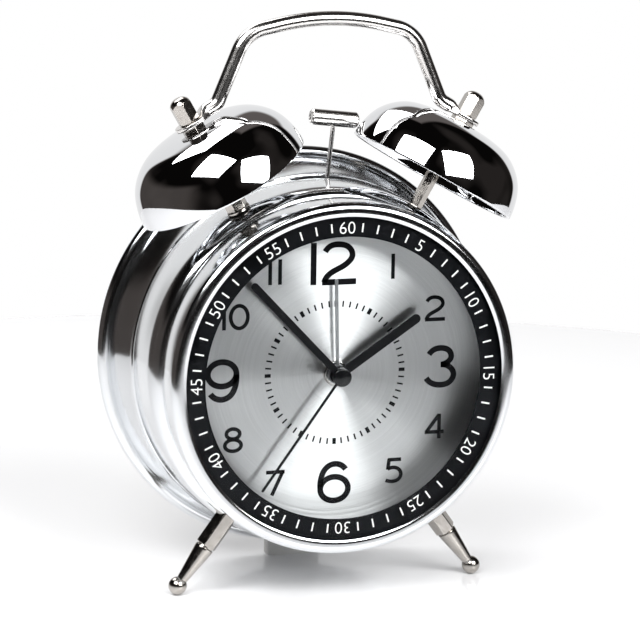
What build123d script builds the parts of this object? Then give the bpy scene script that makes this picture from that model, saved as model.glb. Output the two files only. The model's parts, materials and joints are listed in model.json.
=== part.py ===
from build123d import *
import os
from math import cos, radians, sin

# Twin-bell alarm clock, millimetres.  X is the clock's width, Y runs from the dial to the back,
# Z is up.  The origin is on the surface it stands on, under the middle of the whole clock.
# Depths named *_Y are counted backwards from the front face of the dial.

# ---------------------------------------------------------------- driving dimensions
DIAL_Y = -16.2                 # front face of the dial
DIAL_Z = 63.4                  # height of the dial's centre
WALL = 0.8                     # pressed steel of the case
DIAL_R = 47.3                  # dial, lens and spacer share this radius
BEZEL_R = 50.2
BEZEL_FRONT_Y = -11.2
BEZEL_BACK_Y = 1.4
GLASS_Y = -10.5                # front faces of the glass and of the printed ring behind it
RING_Y = -9.3
SPACER_Y = -8.8
LIP_R = 46.2
NECK_R = 48.3                  # case neck that the bezel is crimped on
RIM_R = 57.4                   # centre of the rolled rim at the back
RIM_Y = 41.0
RIM_BEAD_R = 2.1
COVER_FRONT_Y = 39.4
COVER_BACK_Y = 41.4
COVER_R = 55.2

BELL_LEAN = 29.7               # degrees from vertical
BELL_Y = 8.8
BELL_R = 25.4
BELL_RISE = 17.4
BELL_RIM_AT = 62.0             # distances *_AT run outwards from the dial's axis
BELL_WALL = 0.9
POST_ACROSS = 3.4
STUD_R = 1.3
FIT = 0.03                     # radial play of a fitted screw or stud

LEG_LEAN = 143.9               # degrees from the upward vertical
LEG_Y = 5.3
FOOT_BALL_R = 2.65
FOOT_BALL_AT = 75.2

HAMMER_Y = 19.8
HAMMER_PIVOT_Z = 24.0          # above the dial's centre
HAMMER_LEAN = 6.0
HAMMER_REACH = 46.1
HAMMER_HEAD_R = 2.3
HAMMER_HEAD_LENGTH = 14.0
HAMMER_ROD_R = 0.65

HANDLE_R = 2.05
TAB_THICK = 1.2
TAB_WIDTH = 7.6

MOVEMENT_SIZE = 56.0
MOVEMENT_FRONT_Y = 0.6
MOVEMENT_BACK_Y = 14.0
PLATE = 1.2                    # moulded walls
RUN = 0.05                     # radial running clearance of the arbors

HOUR_ANGLE = 56.0              # hands at rest, degrees clockwise from twelve
MINUTE_ANGLE = 316.5
SECOND_ANGLE = 215.7
ALARM_ANGLE = -1.7

SET_OFFSET = 9.6               # setting arbors stand this far either side of the centre
KNOB_BACK_Y = 49.0

PILLAR_AT = 44.6
PILLAR_ANGLES = (60, 120, 240, 300)

CELL_R = 7.1
CELL_LENGTH = 49.2
CELL_Y = 31.3
CELL_HEIGHTS = (-20.7, -35.0)
TRAY_HALF_X = 27.5
TRAY_TOP_Z = -12.2
TRAY_BOTTOM_Z = -43.4
TRAY_FLOOR_Y = 23.0

SIDES = ((-1, "left"), (1, "right"))

os.makedirs("parts", exist_ok=True)


# ---------------------------------------------------------------- planes and outlines
def facing(depth, x=0.0, z=0.0):
    """Plane parallel to the dial; a negative extrusion runs towards the back."""
    return Plane((x, DIAL_Y + depth, DIAL_Z + z), x_dir=(1, 0, 0), z_dir=(0, -1, 0))


def side_on(x=0.0, z=0.0):
    """Plane for turned profiles: first coordinate is depth, second is radius."""
    return Plane((x, DIAL_Y, DIAL_Z + z), x_dir=(0, 1, 0), z_dir=(1, 0, 0))


def arbor_axis(x=0.0, z=0.0):
    """Axis parallel to the hands' arbor."""
    return Axis((x, DIAL_Y, DIAL_Z + z), (0, 1, 0))


def leaning(degrees, depth):
    """Plane through a radial axis: second coordinate runs outwards from the dial's axis."""
    lean = radians(degrees)
    return Plane((0, DIAL_Y + depth, DIAL_Z), x_dir=(cos(lean), 0, -sin(lean)), z_dir=(0, -1, 0))


def radial_axis(degrees, depth):
    """The radial axis itself."""
    lean = radians(degrees)
    return Axis((0, DIAL_Y + depth, DIAL_Z), (sin(lean), 0, cos(lean)))


def across(degrees, depth, reach):
    """Plane square to a radial axis, reach away from the dial's axis."""
    lean = radians(degrees)
    centre = (reach * sin(lean), DIAL_Y + depth, DIAL_Z + reach * cos(lean))
    return Plane(centre, x_dir=(0, 1, 0), z_dir=(sin(lean), 0, cos(lean)))


def clock_point(degrees, radius):
    """Point on the dial, clockwise from twelve."""
    turn = radians(degrees)
    return (radius * sin(turn), radius * cos(turn))


def gear_points(teeth, module, first_tooth):
    """Outline of a spur gear; first_tooth is the direction of one tooth, counter-clockwise from X."""
    pitch_r = teeth * module / 2
    tooth = 360 / teeth
    corners = ((-0.30, -1.0), (-0.13, 0.8), (0.13, 0.8), (0.30, -1.0))
    points = []
    for index in range(teeth):
        for share, height in corners:
            turn = radians(first_tooth + (index + share) * tooth)
            reach = pitch_r + height * module
            points.append((reach * cos(turn), reach * sin(turn)))
    return points


def save(piece, name):
    """Label one finished piece and write its STEP file."""
    piece.part.label = name
    export_step(piece.part, f"parts/{name}.step")


# ---------------------------------------------------------------- case
# Outer and inner faces of the case between the neck and the groove, as (depth, radius).
FRONT_OUTSIDE = ((2.4, 49.1), (9.0, 50.9), (16.0, 52.4), (23.4, 53.1))
FRONT_INSIDE = ((3.2, 48.5), (9.2, 50.1), (16.4, 51.6))

with BuildPart() as case_shell:
    with BuildSketch(side_on()):
        with BuildLine():
            Polyline((0.6, 42.0), (0.6, NECK_R), (2.4, NECK_R), (2.4, 49.1))
            Spline(*FRONT_OUTSIDE)
            Polyline((23.4, 53.1), (23.6, 52.6), (24.0, 52.6), (24.2, 53.3))
            Spline((24.2, 53.3), (31.0, 54.3), (RIM_Y - 1.2, 56.7))
            Polyline((RIM_Y - 1.2, 56.7), (RIM_Y - 1.2, 55.8), (31.2, 53.5), (24.0, 52.1), (20.0, 52.0),
                     (16.4, 51.6))
            Spline(*reversed(FRONT_INSIDE))
            Polyline((3.2, 48.5), (3.2, 47.5), (1.4, 47.5), (1.4, 42.0), (0.6, 42.0))
        make_face()
    revolve(axis=arbor_axis())
    with BuildSketch(side_on()):
        with Locations((RIM_Y, RIM_R)):
            Circle(RIM_BEAD_R)
    revolve(axis=arbor_axis())
    # hammer slot in the top
    with BuildSketch(Plane.XY.offset(DIAL_Z + 45)):
        with Locations((0, DIAL_Y + HAMMER_Y)):
            SlotOverall(16.0, 3.2)
    extrude(amount=12, mode=Mode.SUBTRACT)
    # holes for the bell posts, the legs and the pillar screws
    for lean, depth in ((BELL_LEAN, BELL_Y), (LEG_LEAN, LEG_Y)):
        for side in (-1, 1):
            with BuildSketch(across(side * lean, depth, 46)):
                Circle(STUD_R + FIT)
            extrude(amount=10, mode=Mode.SUBTRACT)
save(case_shell, "case_shell")

# Solid that fills the front of the case, and one that fills its inside: feet of posts and legs are
# cut to the first, and nuts inside are cut to the second.
with BuildPart() as case_block:
    with BuildSketch(side_on()):
        with BuildLine():
            Polyline(FRONT_OUTSIDE[-1], (23.4, 0), (1.4, 0), (1.4, 49.1), FRONT_OUTSIDE[0])
            Spline(*FRONT_OUTSIDE)
        make_face()
    revolve(axis=arbor_axis())

with BuildPart() as case_cavity:
    with BuildSketch(side_on()):
        with BuildLine():
            Polyline(FRONT_INSIDE[-1], (16.4, 0), (1.4, 0), (1.4, 47.5), (3.2, 47.5), FRONT_INSIDE[0])
            Spline(*FRONT_INSIDE)
        make_face()
    revolve(axis=arbor_axis())

with BuildPart() as bezel:
    with BuildSketch(side_on()):
        with BuildLine():
            Polyline((GLASS_Y, LIP_R), (GLASS_Y - 0.3, LIP_R))
            ThreePointArc((GLASS_Y - 0.3, LIP_R), (BEZEL_FRONT_Y, 47.6), (-10.7, 49.3))
            ThreePointArc((-10.7, 49.3), (-10.2, 49.95), (-9.4, BEZEL_R))
            Polyline((-9.4, BEZEL_R), (0.9, BEZEL_R), (BEZEL_BACK_Y, 49.7), (BEZEL_BACK_Y, NECK_R + FIT),
                     (0.0, NECK_R + FIT), (0.0, DIAL_R + FIT), (GLASS_Y, DIAL_R + FIT), (GLASS_Y, LIP_R))
        make_face()
    revolve(axis=arbor_axis())
save(bezel, "bezel")

with BuildPart() as glass_lens:
    with BuildSketch(facing(GLASS_Y)):
        Circle(DIAL_R)
    extrude(amount=GLASS_Y - RING_Y)
save(glass_lens, "glass_lens")

with BuildPart() as minute_ring:
    with BuildSketch(facing(RING_Y)):
        Circle(DIAL_R)
        Circle(40.35, mode=Mode.SUBTRACT)
    extrude(amount=RING_Y - SPACER_Y)
save(minute_ring, "minute_ring")

with BuildPart() as dial_spacer:
    with BuildSketch(facing(SPACER_Y)):
        Circle(DIAL_R)
        Circle(DIAL_R - 1.1, mode=Mode.SUBTRACT)
    extrude(amount=SPACER_Y)
save(dial_spacer, "dial_spacer")

BUSH_R = 2.7
with BuildPart() as dial_plate:
    with BuildSketch(facing(0)):
        Circle(DIAL_R)
        Circle(BUSH_R + FIT, mode=Mode.SUBTRACT)
    extrude(amount=-MOVEMENT_FRONT_Y)
save(dial_plate, "dial_plate")

with BuildPart() as dial_nut:
    with BuildSketch(facing(-1.5)):
        Circle(3.7)
        Circle(BUSH_R + FIT, mode=Mode.SUBTRACT)
    extrude(amount=-1.5)
    chamfer(dial_nut.edges().group_by(Axis.Y)[0].sort_by(SortBy.RADIUS)[-1], 0.3)
save(dial_nut, "dial_nut")

# ---------------------------------------------------------------- bells, posts and nuts
BELL_TOP_AT = BELL_RIM_AT + BELL_RISE
TAB_AT = BELL_TOP_AT + 1.3
ACORN_AT = TAB_AT + TAB_THICK
ACORN_ACROSS = 5.6
ACORN_HEIGHT = 7.4
STUD_END_AT = ACORN_AT + 4.6
SEAT_AT = 49.0                 # inside the case wall: posts and legs start here and are cut to the case

for side, name in SIDES:
    lean = side * BELL_LEAN
    with BuildPart() as bell:
        with BuildSketch(leaning(lean, BELL_Y)):
            with BuildLine():
                Spline((BELL_R, BELL_RIM_AT), (24.5, BELL_RIM_AT + 5.5), (20.3, BELL_RIM_AT + 12.7),
                       (12.6, BELL_RIM_AT + 16.5), (4.5, BELL_TOP_AT), tangents=[(-0.04, 1), (-1, 0)])
                Polyline((4.5, BELL_TOP_AT), (STUD_R + FIT, BELL_TOP_AT),
                         (STUD_R + FIT, BELL_TOP_AT - BELL_WALL), (4.5, BELL_TOP_AT - BELL_WALL))
                Spline((4.5, BELL_TOP_AT - BELL_WALL), (12.3, BELL_RIM_AT + 15.6), (19.6, BELL_RIM_AT + 12.1),
                       (23.6, BELL_RIM_AT + 5.3), (BELL_R - BELL_WALL, BELL_RIM_AT),
                       tangents=[(1, 0), (0.04, -1)])
                Line((BELL_R - BELL_WALL, BELL_RIM_AT), (BELL_R, BELL_RIM_AT))
            make_face()
        revolve(axis=radial_axis(lean, BELL_Y))
    save(bell, f"{name}_bell")

    with BuildPart() as post:
        with BuildSketch(across(lean, BELL_Y, SEAT_AT)):
            RegularPolygon(POST_ACROSS / 2, 6, major_radius=False)
        extrude(amount=BELL_TOP_AT - BELL_WALL - SEAT_AT)
        add(case_block.part, mode=Mode.SUBTRACT)
        with BuildSketch(across(lean, BELL_Y, 45.5)):
            Circle(STUD_R)
        extrude(amount=STUD_END_AT - 45.5)
    save(post, f"{name}_bell_post")

    with BuildPart() as acorn_nut:
        with BuildSketch(across(lean, BELL_Y, ACORN_AT)):
            RegularPolygon(ACORN_ACROSS / 2, 6, major_radius=False)
        extrude(amount=ACORN_HEIGHT)
        # the corners and the top are turned to a dome
        with BuildSketch(leaning(lean, BELL_Y)):
            with BuildLine():
                Line((0, ACORN_AT), (2.7, ACORN_AT))
                Line((2.7, ACORN_AT), (3.24, ACORN_AT + 0.5))
                Line((3.24, ACORN_AT + 0.5), (3.24, ACORN_AT + 4.9))
                ThreePointArc((3.24, ACORN_AT + 4.9), (2.25, ACORN_AT + 6.8), (0, ACORN_AT + ACORN_HEIGHT))
                Line((0, ACORN_AT + ACORN_HEIGHT), (0, ACORN_AT))
            make_face()
        revolve(axis=radial_axis(lean, BELL_Y), mode=Mode.INTERSECT)
        with BuildSketch(across(lean, BELL_Y, ACORN_AT)):
            Circle(STUD_R + FIT)
        extrude(amount=STUD_END_AT + 0.4 - ACORN_AT, mode=Mode.SUBTRACT)
    save(acorn_nut, f"{name}_acorn_nut")

with BuildPart() as bell_spacer_nuts:
    for side in (-1, 1):
        with BuildSketch(across(side * BELL_LEAN, BELL_Y, BELL_TOP_AT)):
            RegularPolygon(3.0, 6, major_radius=False)
            Circle(STUD_R + FIT, mode=Mode.SUBTRACT)
        extrude(amount=TAB_AT - BELL_TOP_AT)
save(bell_spacer_nuts, "bell_spacer_nuts")

with BuildPart() as post_nuts:
    for side in (-1, 1):
        with BuildSketch(across(side * BELL_LEAN, BELL_Y, 47.0)):
            RegularPolygon(2.5, 6, major_radius=False)
            Circle(STUD_R + FIT, mode=Mode.SUBTRACT)
        extrude(amount=5.0)
    add(case_cavity.part, mode=Mode.INTERSECT)
save(post_nuts, "post_nuts")

# ---------------------------------------------------------------- carrying handle
TUBE_AT = TAB_AT + HANDLE_R - 0.6      # the tube's middle beside a tab; it clears the bell
TAB_MID_AT = TAB_AT + TAB_THICK / 2
TUBE_SLIDE = -6.0                      # slides run outwards along a tab from its post
BEND_SLIDE = -9.1
PRESSED_SLIDE = -2.8
CROWN = (0, 100.95)                    # corners of the arch above the dial's centre
SHOULDER = (24.6, 95.5)
ARCH_RADII = (4.0, 10.0, 70.0, 10.0, 4.0)


def on_tab(slide, reach, side=1):
    """Point above the dial's centre, slide along one tab and reach from the dial's axis."""
    lean = radians(BELL_LEAN)
    return (side * (reach * sin(lean) + slide * cos(lean)), reach * cos(lean) - slide * sin(lean))


def tab_plane(slide, reach, side):
    """Section plane across one tab."""
    x, z = on_tab(slide, reach, side)
    lean = radians(BELL_LEAN)
    return Plane((x, DIAL_Y + BELL_Y, DIAL_Z + z), x_dir=(0, 1, 0), z_dir=(side * cos(lean), 0, -sin(lean)))


with BuildPart() as carry_handle:
    with BuildLine(facing(BELL_Y)) as arch:
        FilletPolyline(on_tab(TUBE_SLIDE, TUBE_AT), on_tab(BEND_SLIDE, TUBE_AT), SHOULDER, CROWN,
                       (-SHOULDER[0], SHOULDER[1]), on_tab(BEND_SLIDE, TUBE_AT, -1),
                       on_tab(TUBE_SLIDE, TUBE_AT, -1), radius=ARCH_RADII)
    start = arch.line @ 0
    with BuildSketch(Plane(start, z_dir=arch.line % 0)):
        Circle(HANDLE_R)
    sweep()
    for side in (-1, 1):
        # the tube is pressed flat over a short length
        with BuildSketch(tab_plane(TUBE_SLIDE, TUBE_AT, side)):
            Circle(HANDLE_R)
        with BuildSketch(tab_plane(PRESSED_SLIDE, TAB_MID_AT, side)):
            Rectangle(TAB_WIDTH, TAB_THICK)
        loft()
        with BuildSketch(across(side * BELL_LEAN, BELL_Y, TAB_AT)):
            with Locations((0, -0.8 * side)):
                Circle(TAB_WIDTH / 2)
            with Locations((0, 1.0 * side)):
                Rectangle(TAB_WIDTH, 3.6)
        extrude(amount=TAB_THICK)
        with BuildSketch(across(side * BELL_LEAN, BELL_Y, TAB_AT - 1)):
            Circle(STUD_R + FIT)
        extrude(amount=TAB_THICK + 2, mode=Mode.SUBTRACT)
save(carry_handle, "carry_handle")

# ---------------------------------------------------------------- legs and rear foot
HEX_FOOT_AT = 61.3
for side, name in SIDES:
    lean = side * LEG_LEAN
    with BuildPart() as leg:
        with BuildSketch(across(lean, LEG_Y, SEAT_AT - 1)):
            RegularPolygon(2.8, 6, major_radius=False)
        extrude(amount=HEX_FOOT_AT - SEAT_AT + 1)
        add(case_block.part, mode=Mode.SUBTRACT)
        with BuildSketch(across(lean, LEG_Y, 44.5)):
            Circle(STUD_R)
        extrude(amount=7.0)
        with BuildSketch(leaning(lean, LEG_Y)):
            with BuildLine():
                Polyline((0, HEX_FOOT_AT - 1), (2.4, HEX_FOOT_AT - 1), (2.4, HEX_FOOT_AT + 0.3),
                         (2.75, HEX_FOOT_AT + 0.7), (2.75, HEX_FOOT_AT + 1.1), (1.5, 73.4), (1.5, 74.0),
                         (0, 74.0), (0, HEX_FOOT_AT - 1))
            make_face()
        revolve(axis=radial_axis(lean, LEG_Y))
        with Locations(across(lean, LEG_Y, FOOT_BALL_AT)):
            Sphere(FOOT_BALL_R)
    save(leg, f"{name}_leg")

with BuildPart() as leg_nuts:
    for side in (-1, 1):
        with BuildSketch(across(side * LEG_LEAN, LEG_Y, 46.0)):
            RegularPolygon(2.5, 6, major_radius=False)
            Circle(STUD_R + FIT, mode=Mode.SUBTRACT)
        extrude(amount=5.0)
    add(case_cavity.part, mode=Mode.INTERSECT)
save(leg_nuts, "leg_nuts")

with BuildPart() as rear_foot:
    with BuildSketch(Plane.XY):
        with Locations((0, DIAL_Y + RIM_Y)):
            RectangleRounded(16.0, 5.6, 1.0)
    extrude(amount=7.5)
    # the top is hollowed to sit on the rolled rim
    with BuildSketch(side_on()):
        with Locations((RIM_Y, RIM_R)):
            Circle(RIM_BEAD_R + FIT)
    revolve(axis=arbor_axis(), mode=Mode.SUBTRACT)
    split(bisect_by=Plane.XY.offset(4.6), keep=Keep.BOTTOM)
save(rear_foot, "rear_foot")

# ---------------------------------------------------------------- rear cover and its parts
SWITCH_X = 26.0
SWITCH_Z = 16.0
SWITCH_TRAVEL = 3.0
SHAFT_R = 1.0
DOOR_GAP = 0.3
DOOR_THICK = 1.6
DOOR_PIN_R = 0.5
DOOR_PIN_LENGTH = 1.4
BARREL_Y = COVER_BACK_Y - DOOR_THICK / 2
BARREL_Z = TRAY_BOTTOM_Z - 0.4 + DOOR_GAP + DOOR_THICK / 2
DOOR_HALF_X = TRAY_HALF_X + 0.4 - DOOR_GAP


def barrel_section(x):
    """Plane across the battery door's hinge line, at one place along the clock's width."""
    return Plane((x, DIAL_Y + BARREL_Y, DIAL_Z + BARREL_Z), x_dir=(0, 1, 0), z_dir=(1, 0, 0))


with BuildPart() as rear_cover:
    with BuildSketch(facing(COVER_FRONT_Y)):
        Circle(COVER_R)
    extrude(amount=COVER_FRONT_Y - COVER_BACK_Y)
    tray_z = (TRAY_TOP_Z + TRAY_BOTTOM_Z) / 2
    tray_height = TRAY_TOP_Z - TRAY_BOTTOM_Z
    with BuildSketch(facing(TRAY_FLOOR_Y, z=tray_z)):
        Rectangle(2 * TRAY_HALF_X, tray_height)
    extrude(amount=TRAY_FLOOR_Y - COVER_BACK_Y)
    with BuildSketch(facing(TRAY_FLOOR_Y + PLATE, z=tray_z)):
        Rectangle(2 * (TRAY_HALF_X - PLATE), tray_height - 2 * PLATE)
    extrude(amount=TRAY_FLOOR_Y - COVER_BACK_Y, mode=Mode.SUBTRACT)
    # rebate that the battery door lies in
    with BuildSketch(facing(COVER_BACK_Y - DOOR_THICK, z=tray_z)):
        Rectangle(2 * TRAY_HALF_X + 0.8, tray_height + 0.8)
    extrude(amount=-5, mode=Mode.SUBTRACT)
    for x in (-SET_OFFSET, SET_OFFSET):
        with BuildSketch(facing(COVER_FRONT_Y - 1, x=x)):
            Circle(SHAFT_R + RUN)
        extrude(amount=-5, mode=Mode.SUBTRACT)
    with BuildSketch(facing(COVER_FRONT_Y - 1, x=SWITCH_X, z=SWITCH_Z - SWITCH_TRAVEL / 2)):
        Rectangle(3.6, 4.2 + SWITCH_TRAVEL)
    extrude(amount=-5, mode=Mode.SUBTRACT)
    for angle in PILLAR_ANGLES:
        x, z = clock_point(angle, PILLAR_AT)
        with BuildSketch(facing(COVER_FRONT_Y - 1, x=x, z=z)):
            Circle(STUD_R + FIT)
        extrude(amount=-5, mode=Mode.SUBTRACT)
    for row in (-1, 0, 1):
        for column in range(-3, 4):
            with BuildSketch(facing(COVER_FRONT_Y - 1, x=3.4 * column, z=33 + 3.4 * row)):
                Circle(0.8)
            extrude(amount=-5, mode=Mode.SUBTRACT)
    # sockets for the door's pins
    with BuildSketch(barrel_section(-DOOR_HALF_X - DOOR_PIN_LENGTH - 0.2)):
        Circle(DOOR_PIN_R + RUN)
    extrude(amount=2 * (DOOR_HALF_X + DOOR_PIN_LENGTH + 0.2), mode=Mode.SUBTRACT)
save(rear_cover, "rear_cover")

with BuildPart() as battery_door:
    door_top = TRAY_TOP_Z + 0.4 - DOOR_GAP
    with BuildSketch(facing(COVER_BACK_Y - DOOR_THICK, z=(door_top + BARREL_Z) / 2)):
        Rectangle(2 * DOOR_HALF_X, door_top - BARREL_Z)
    extrude(amount=-DOOR_THICK)
    # the lower edge is a round barrel with a pin at each end
    for radius, half_length in ((DOOR_THICK / 2, DOOR_HALF_X), (DOOR_PIN_R, DOOR_HALF_X + DOOR_PIN_LENGTH)):
        with BuildSketch(barrel_section(-half_length)):
            Circle(radius)
        extrude(amount=2 * half_length)
    for rib in range(5):
        with BuildSketch(facing(COVER_BACK_Y, z=TRAY_TOP_Z - 5 - 1.6 * rib)):
            Rectangle(14, 0.7)
        extrude(amount=-0.6)
save(battery_door, "battery_door")

with BuildPart() as cover_pillars:
    for angle in PILLAR_ANGLES:
        x, z = clock_point(angle, PILLAR_AT)
        with BuildSketch(facing(1.4, x=x, z=z)):
            Circle(2.4)
        extrude(amount=1.4 - COVER_FRONT_Y)
        with BuildSketch(facing(COVER_FRONT_Y - 9, x=x, z=z)):
            Circle(STUD_R + FIT)
        extrude(amount=-10, mode=Mode.SUBTRACT)
save(cover_pillars, "cover_pillars")

with BuildPart() as cover_screws:
    for angle in PILLAR_ANGLES:
        x, z = clock_point(angle, PILLAR_AT)
        with BuildSketch(facing(COVER_BACK_Y - 9.5, x=x, z=z)):
            Circle(STUD_R)
        extrude(amount=-9.5)
        with BuildSketch(facing(COVER_BACK_Y, x=x, z=z)):
            Circle(2.4)
        extrude(amount=-1.3)
        with BuildSketch(facing(COVER_BACK_Y + 0.6, x=x, z=z)):
            Rectangle(3.2, 0.6)
            Rectangle(0.6, 3.2)
        extrude(amount=-2, mode=Mode.SUBTRACT)
save(cover_screws, "cover_screws")

with BuildPart() as cells:
    for height in CELL_HEIGHTS:
        with BuildSketch(Plane((-CELL_LENGTH / 2, DIAL_Y + CELL_Y, DIAL_Z + height), z_dir=(1, 0, 0))):
            Circle(CELL_R)
        extrude(amount=CELL_LENGTH)
        with BuildSketch(Plane((CELL_LENGTH / 2, DIAL_Y + CELL_Y, DIAL_Z + height), z_dir=(1, 0, 0))):
            Circle(2.7)
        extrude(amount=1.0)
save(cells, "battery_cells")

with BuildPart() as battery_contacts:
    for height in CELL_HEIGHTS:
        for x, reach in ((CELL_LENGTH / 2 + 1.05, 0.5), (-TRAY_HALF_X + PLATE, 0.5)):
            with BuildSketch(Plane((x, DIAL_Y + CELL_Y, DIAL_Z + height), z_dir=(1, 0, 0))):
                Rectangle(11, 11)
            extrude(amount=reach)
        # conical spring, taken as its closed coils
        spring_foot = (-TRAY_HALF_X + PLATE + 0.5, DIAL_Y + CELL_Y, DIAL_Z + height)
        with BuildSketch(Plane(spring_foot, z_dir=(1, 0, 0))):
            Circle(4.0)
        extrude(amount=1.1, taper=35)
save(battery_contacts, "battery_contacts")

# ---------------------------------------------------------------- alarm switch
with BuildPart() as alarm_switch:
    with BuildSketch(facing(37.7, x=SWITCH_X, z=SWITCH_Z)):
        Rectangle(7.0, 5.6)
    extrude(amount=-1.2)
    with BuildSketch(facing(38.9, x=SWITCH_X, z=SWITCH_Z)):
        Rectangle(3.0, 3.6)
    extrude(amount=-5.0)
    with BuildSketch(facing(43.9, x=SWITCH_X, z=SWITCH_Z)):
        Rectangle(4.4, 3.6)
    extrude(amount=-1.0)
save(alarm_switch, "alarm_switch")

with BuildPart() as switch_body:
    with BuildSketch(facing(31.0, x=SWITCH_X, z=SWITCH_Z - SWITCH_TRAVEL / 2)):
        Rectangle(9.4, 13.0)
    extrude(amount=31.0 - COVER_FRONT_Y)
    with BuildSketch(facing(37.4, x=SWITCH_X, z=SWITCH_Z - SWITCH_TRAVEL / 2)):
        Rectangle(7.6, 6.2 + SWITCH_TRAVEL)
    extrude(amount=-5, mode=Mode.SUBTRACT)
save(switch_body, "switch_body")

# ---------------------------------------------------------------- movement
# Wheels are given by the depth of their front face.
ALARM_WHEEL_Y = 2.3
HOUR_WHEEL_Y = 4.0
CANNON_Y = 5.6
SECOND_WHEEL_Y = 7.6
ROTOR_Z = 13.0
DRIVE_Z = 7.0
SECOND_ARBOR_R = 0.6
MINUTE_PIPE = (1.1, SECOND_ARBOR_R + RUN)
HOUR_PIPE = (1.55, MINUTE_PIPE[0] + RUN)
ALARM_PIPE = (1.95, HOUR_PIPE[0] + RUN)
COIL_Z = 22.0
STATOR_Y = 10.8

with BuildPart() as movement_case:
    with BuildSketch(facing(MOVEMENT_FRONT_Y)):
        RectangleRounded(MOVEMENT_SIZE, MOVEMENT_SIZE, 3.0)
    extrude(amount=MOVEMENT_FRONT_Y - MOVEMENT_BACK_Y)
    with BuildSketch(facing(MOVEMENT_FRONT_Y + PLATE)):
        RectangleRounded(MOVEMENT_SIZE - 2 * PLATE, MOVEMENT_SIZE - 2 * PLATE, 1.8)
    extrude(amount=-20, mode=Mode.SUBTRACT)
    # threaded bush through the dial
    with BuildSketch(facing(-1.7)):
        Circle(BUSH_R)
    extrude(amount=-1.7 - MOVEMENT_FRONT_Y)
    with BuildSketch(facing(-2.0)):
        Circle(ALARM_PIPE[0] + RUN)
    extrude(amount=-5, mode=Mode.SUBTRACT)
save(movement_case, "movement_case")

with BuildPart() as movement_plate:
    with BuildSketch(facing(MOVEMENT_BACK_Y)):
        RectangleRounded(MOVEMENT_SIZE, MOVEMENT_SIZE, 3.0)
        with Locations((-SET_OFFSET, 0), (SET_OFFSET, 0)):
            Circle(SHAFT_R + RUN, mode=Mode.SUBTRACT)
        with Locations((0, 0), (0, DRIVE_Z), (0, ROTOR_Z)):
            Circle(0.4 + RUN, mode=Mode.SUBTRACT)
    extrude(amount=-PLATE)
save(movement_plate, "movement_plate")


def disc(radius, depth, x=0.0, z=0.0, bore=0.0):
    """Round or ring-shaped section parallel to the dial."""
    with BuildSketch(facing(depth, x=x, z=z)) as section:
        Circle(radius)
        if bore:
            Circle(bore, mode=Mode.SUBTRACT)
    return section.sketch


def toothed(teeth, module, depth, first_tooth=0.0, x=0.0, z=0.0, bore=0.0):
    """Gear-shaped section parallel to the dial."""
    with BuildSketch(facing(depth, x=x, z=z)) as section:
        Polygon(*gear_points(teeth, module, first_tooth), align=None)
        if bore:
            Circle(bore, mode=Mode.SUBTRACT)
    return section.sketch


# alarm hand's train
with BuildPart() as alarm_wheel:
    extrude(toothed(48, 0.32, ALARM_WHEEL_Y, bore=ALARM_PIPE[1]), amount=-1.0)
    extrude(disc(ALARM_PIPE[0], -2.8, bore=ALARM_PIPE[1]), amount=-2.8 - (ALARM_WHEEL_Y + 1.0))
save(alarm_wheel, "alarm_wheel")

with BuildPart() as alarm_set_arbor:
    extrude(toothed(12, 0.32, ALARM_WHEEL_Y - 0.1, first_tooth=15, x=SET_OFFSET), amount=-1.2)
    extrude(disc(SHAFT_R, ALARM_WHEEL_Y - 0.1, x=SET_OFFSET), amount=ALARM_WHEEL_Y - 0.1 - (KNOB_BACK_Y - 2))
save(alarm_set_arbor, "alarm_set_arbor")

# hour and minute hands' train
with BuildPart() as hour_wheel:
    extrude(toothed(48, 0.32, HOUR_WHEEL_Y, bore=HOUR_PIPE[1]), amount=-1.0)
    extrude(disc(HOUR_PIPE[0], -4.0, bore=HOUR_PIPE[1]), amount=-4.0 - (HOUR_WHEEL_Y + 1.0))
save(hour_wheel, "hour_wheel")

with BuildPart() as cannon_pinion:
    extrude(toothed(12, 0.4, CANNON_Y, bore=MINUTE_PIPE[1]), amount=-1.2)
    extrude(disc(MINUTE_PIPE[0], -5.2, bore=MINUTE_PIPE[1]), amount=-5.2 - (CANNON_Y + 1.2))
save(cannon_pinion, "cannon_pinion")

with BuildPart() as minute_wheel:
    extrude(toothed(36, 0.4, CANNON_Y + 0.1, first_tooth=5, x=-SET_OFFSET), amount=-1.0)
    extrude(toothed(12, 0.32, HOUR_WHEEL_Y - 0.1, first_tooth=15, x=-SET_OFFSET), amount=-1.3)
    extrude(disc(SHAFT_R, HOUR_WHEEL_Y - 1, x=-SET_OFFSET), amount=HOUR_WHEEL_Y - 1 - (KNOB_BACK_Y - 2))
save(minute_wheel, "minute_wheel")

# stepping motor's train
with BuildPart() as second_wheel:
    extrude(toothed(60, 0.2, SECOND_WHEEL_Y), amount=-0.7)
    extrude(disc(SECOND_ARBOR_R, -6.4), amount=-6.4 - 13.4)
    extrude(disc(0.4, 13.4), amount=13.4 - 14.8)
save(second_wheel, "second_wheel")

with BuildPart() as drive_wheel:
    extrude(toothed(10, 0.2, SECOND_WHEEL_Y - 0.1, z=DRIVE_Z), amount=-1.1)
    extrude(toothed(50, 0.2, SECOND_WHEEL_Y + 1.1, first_tooth=90, z=DRIVE_Z), amount=-0.6)
    extrude(disc(0.5, SECOND_WHEEL_Y - 1, z=DRIVE_Z), amount=SECOND_WHEEL_Y - 1 - 13.4)
    extrude(disc(0.4, 13.4, z=DRIVE_Z), amount=13.4 - 14.8)
save(drive_wheel, "drive_wheel")

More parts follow.
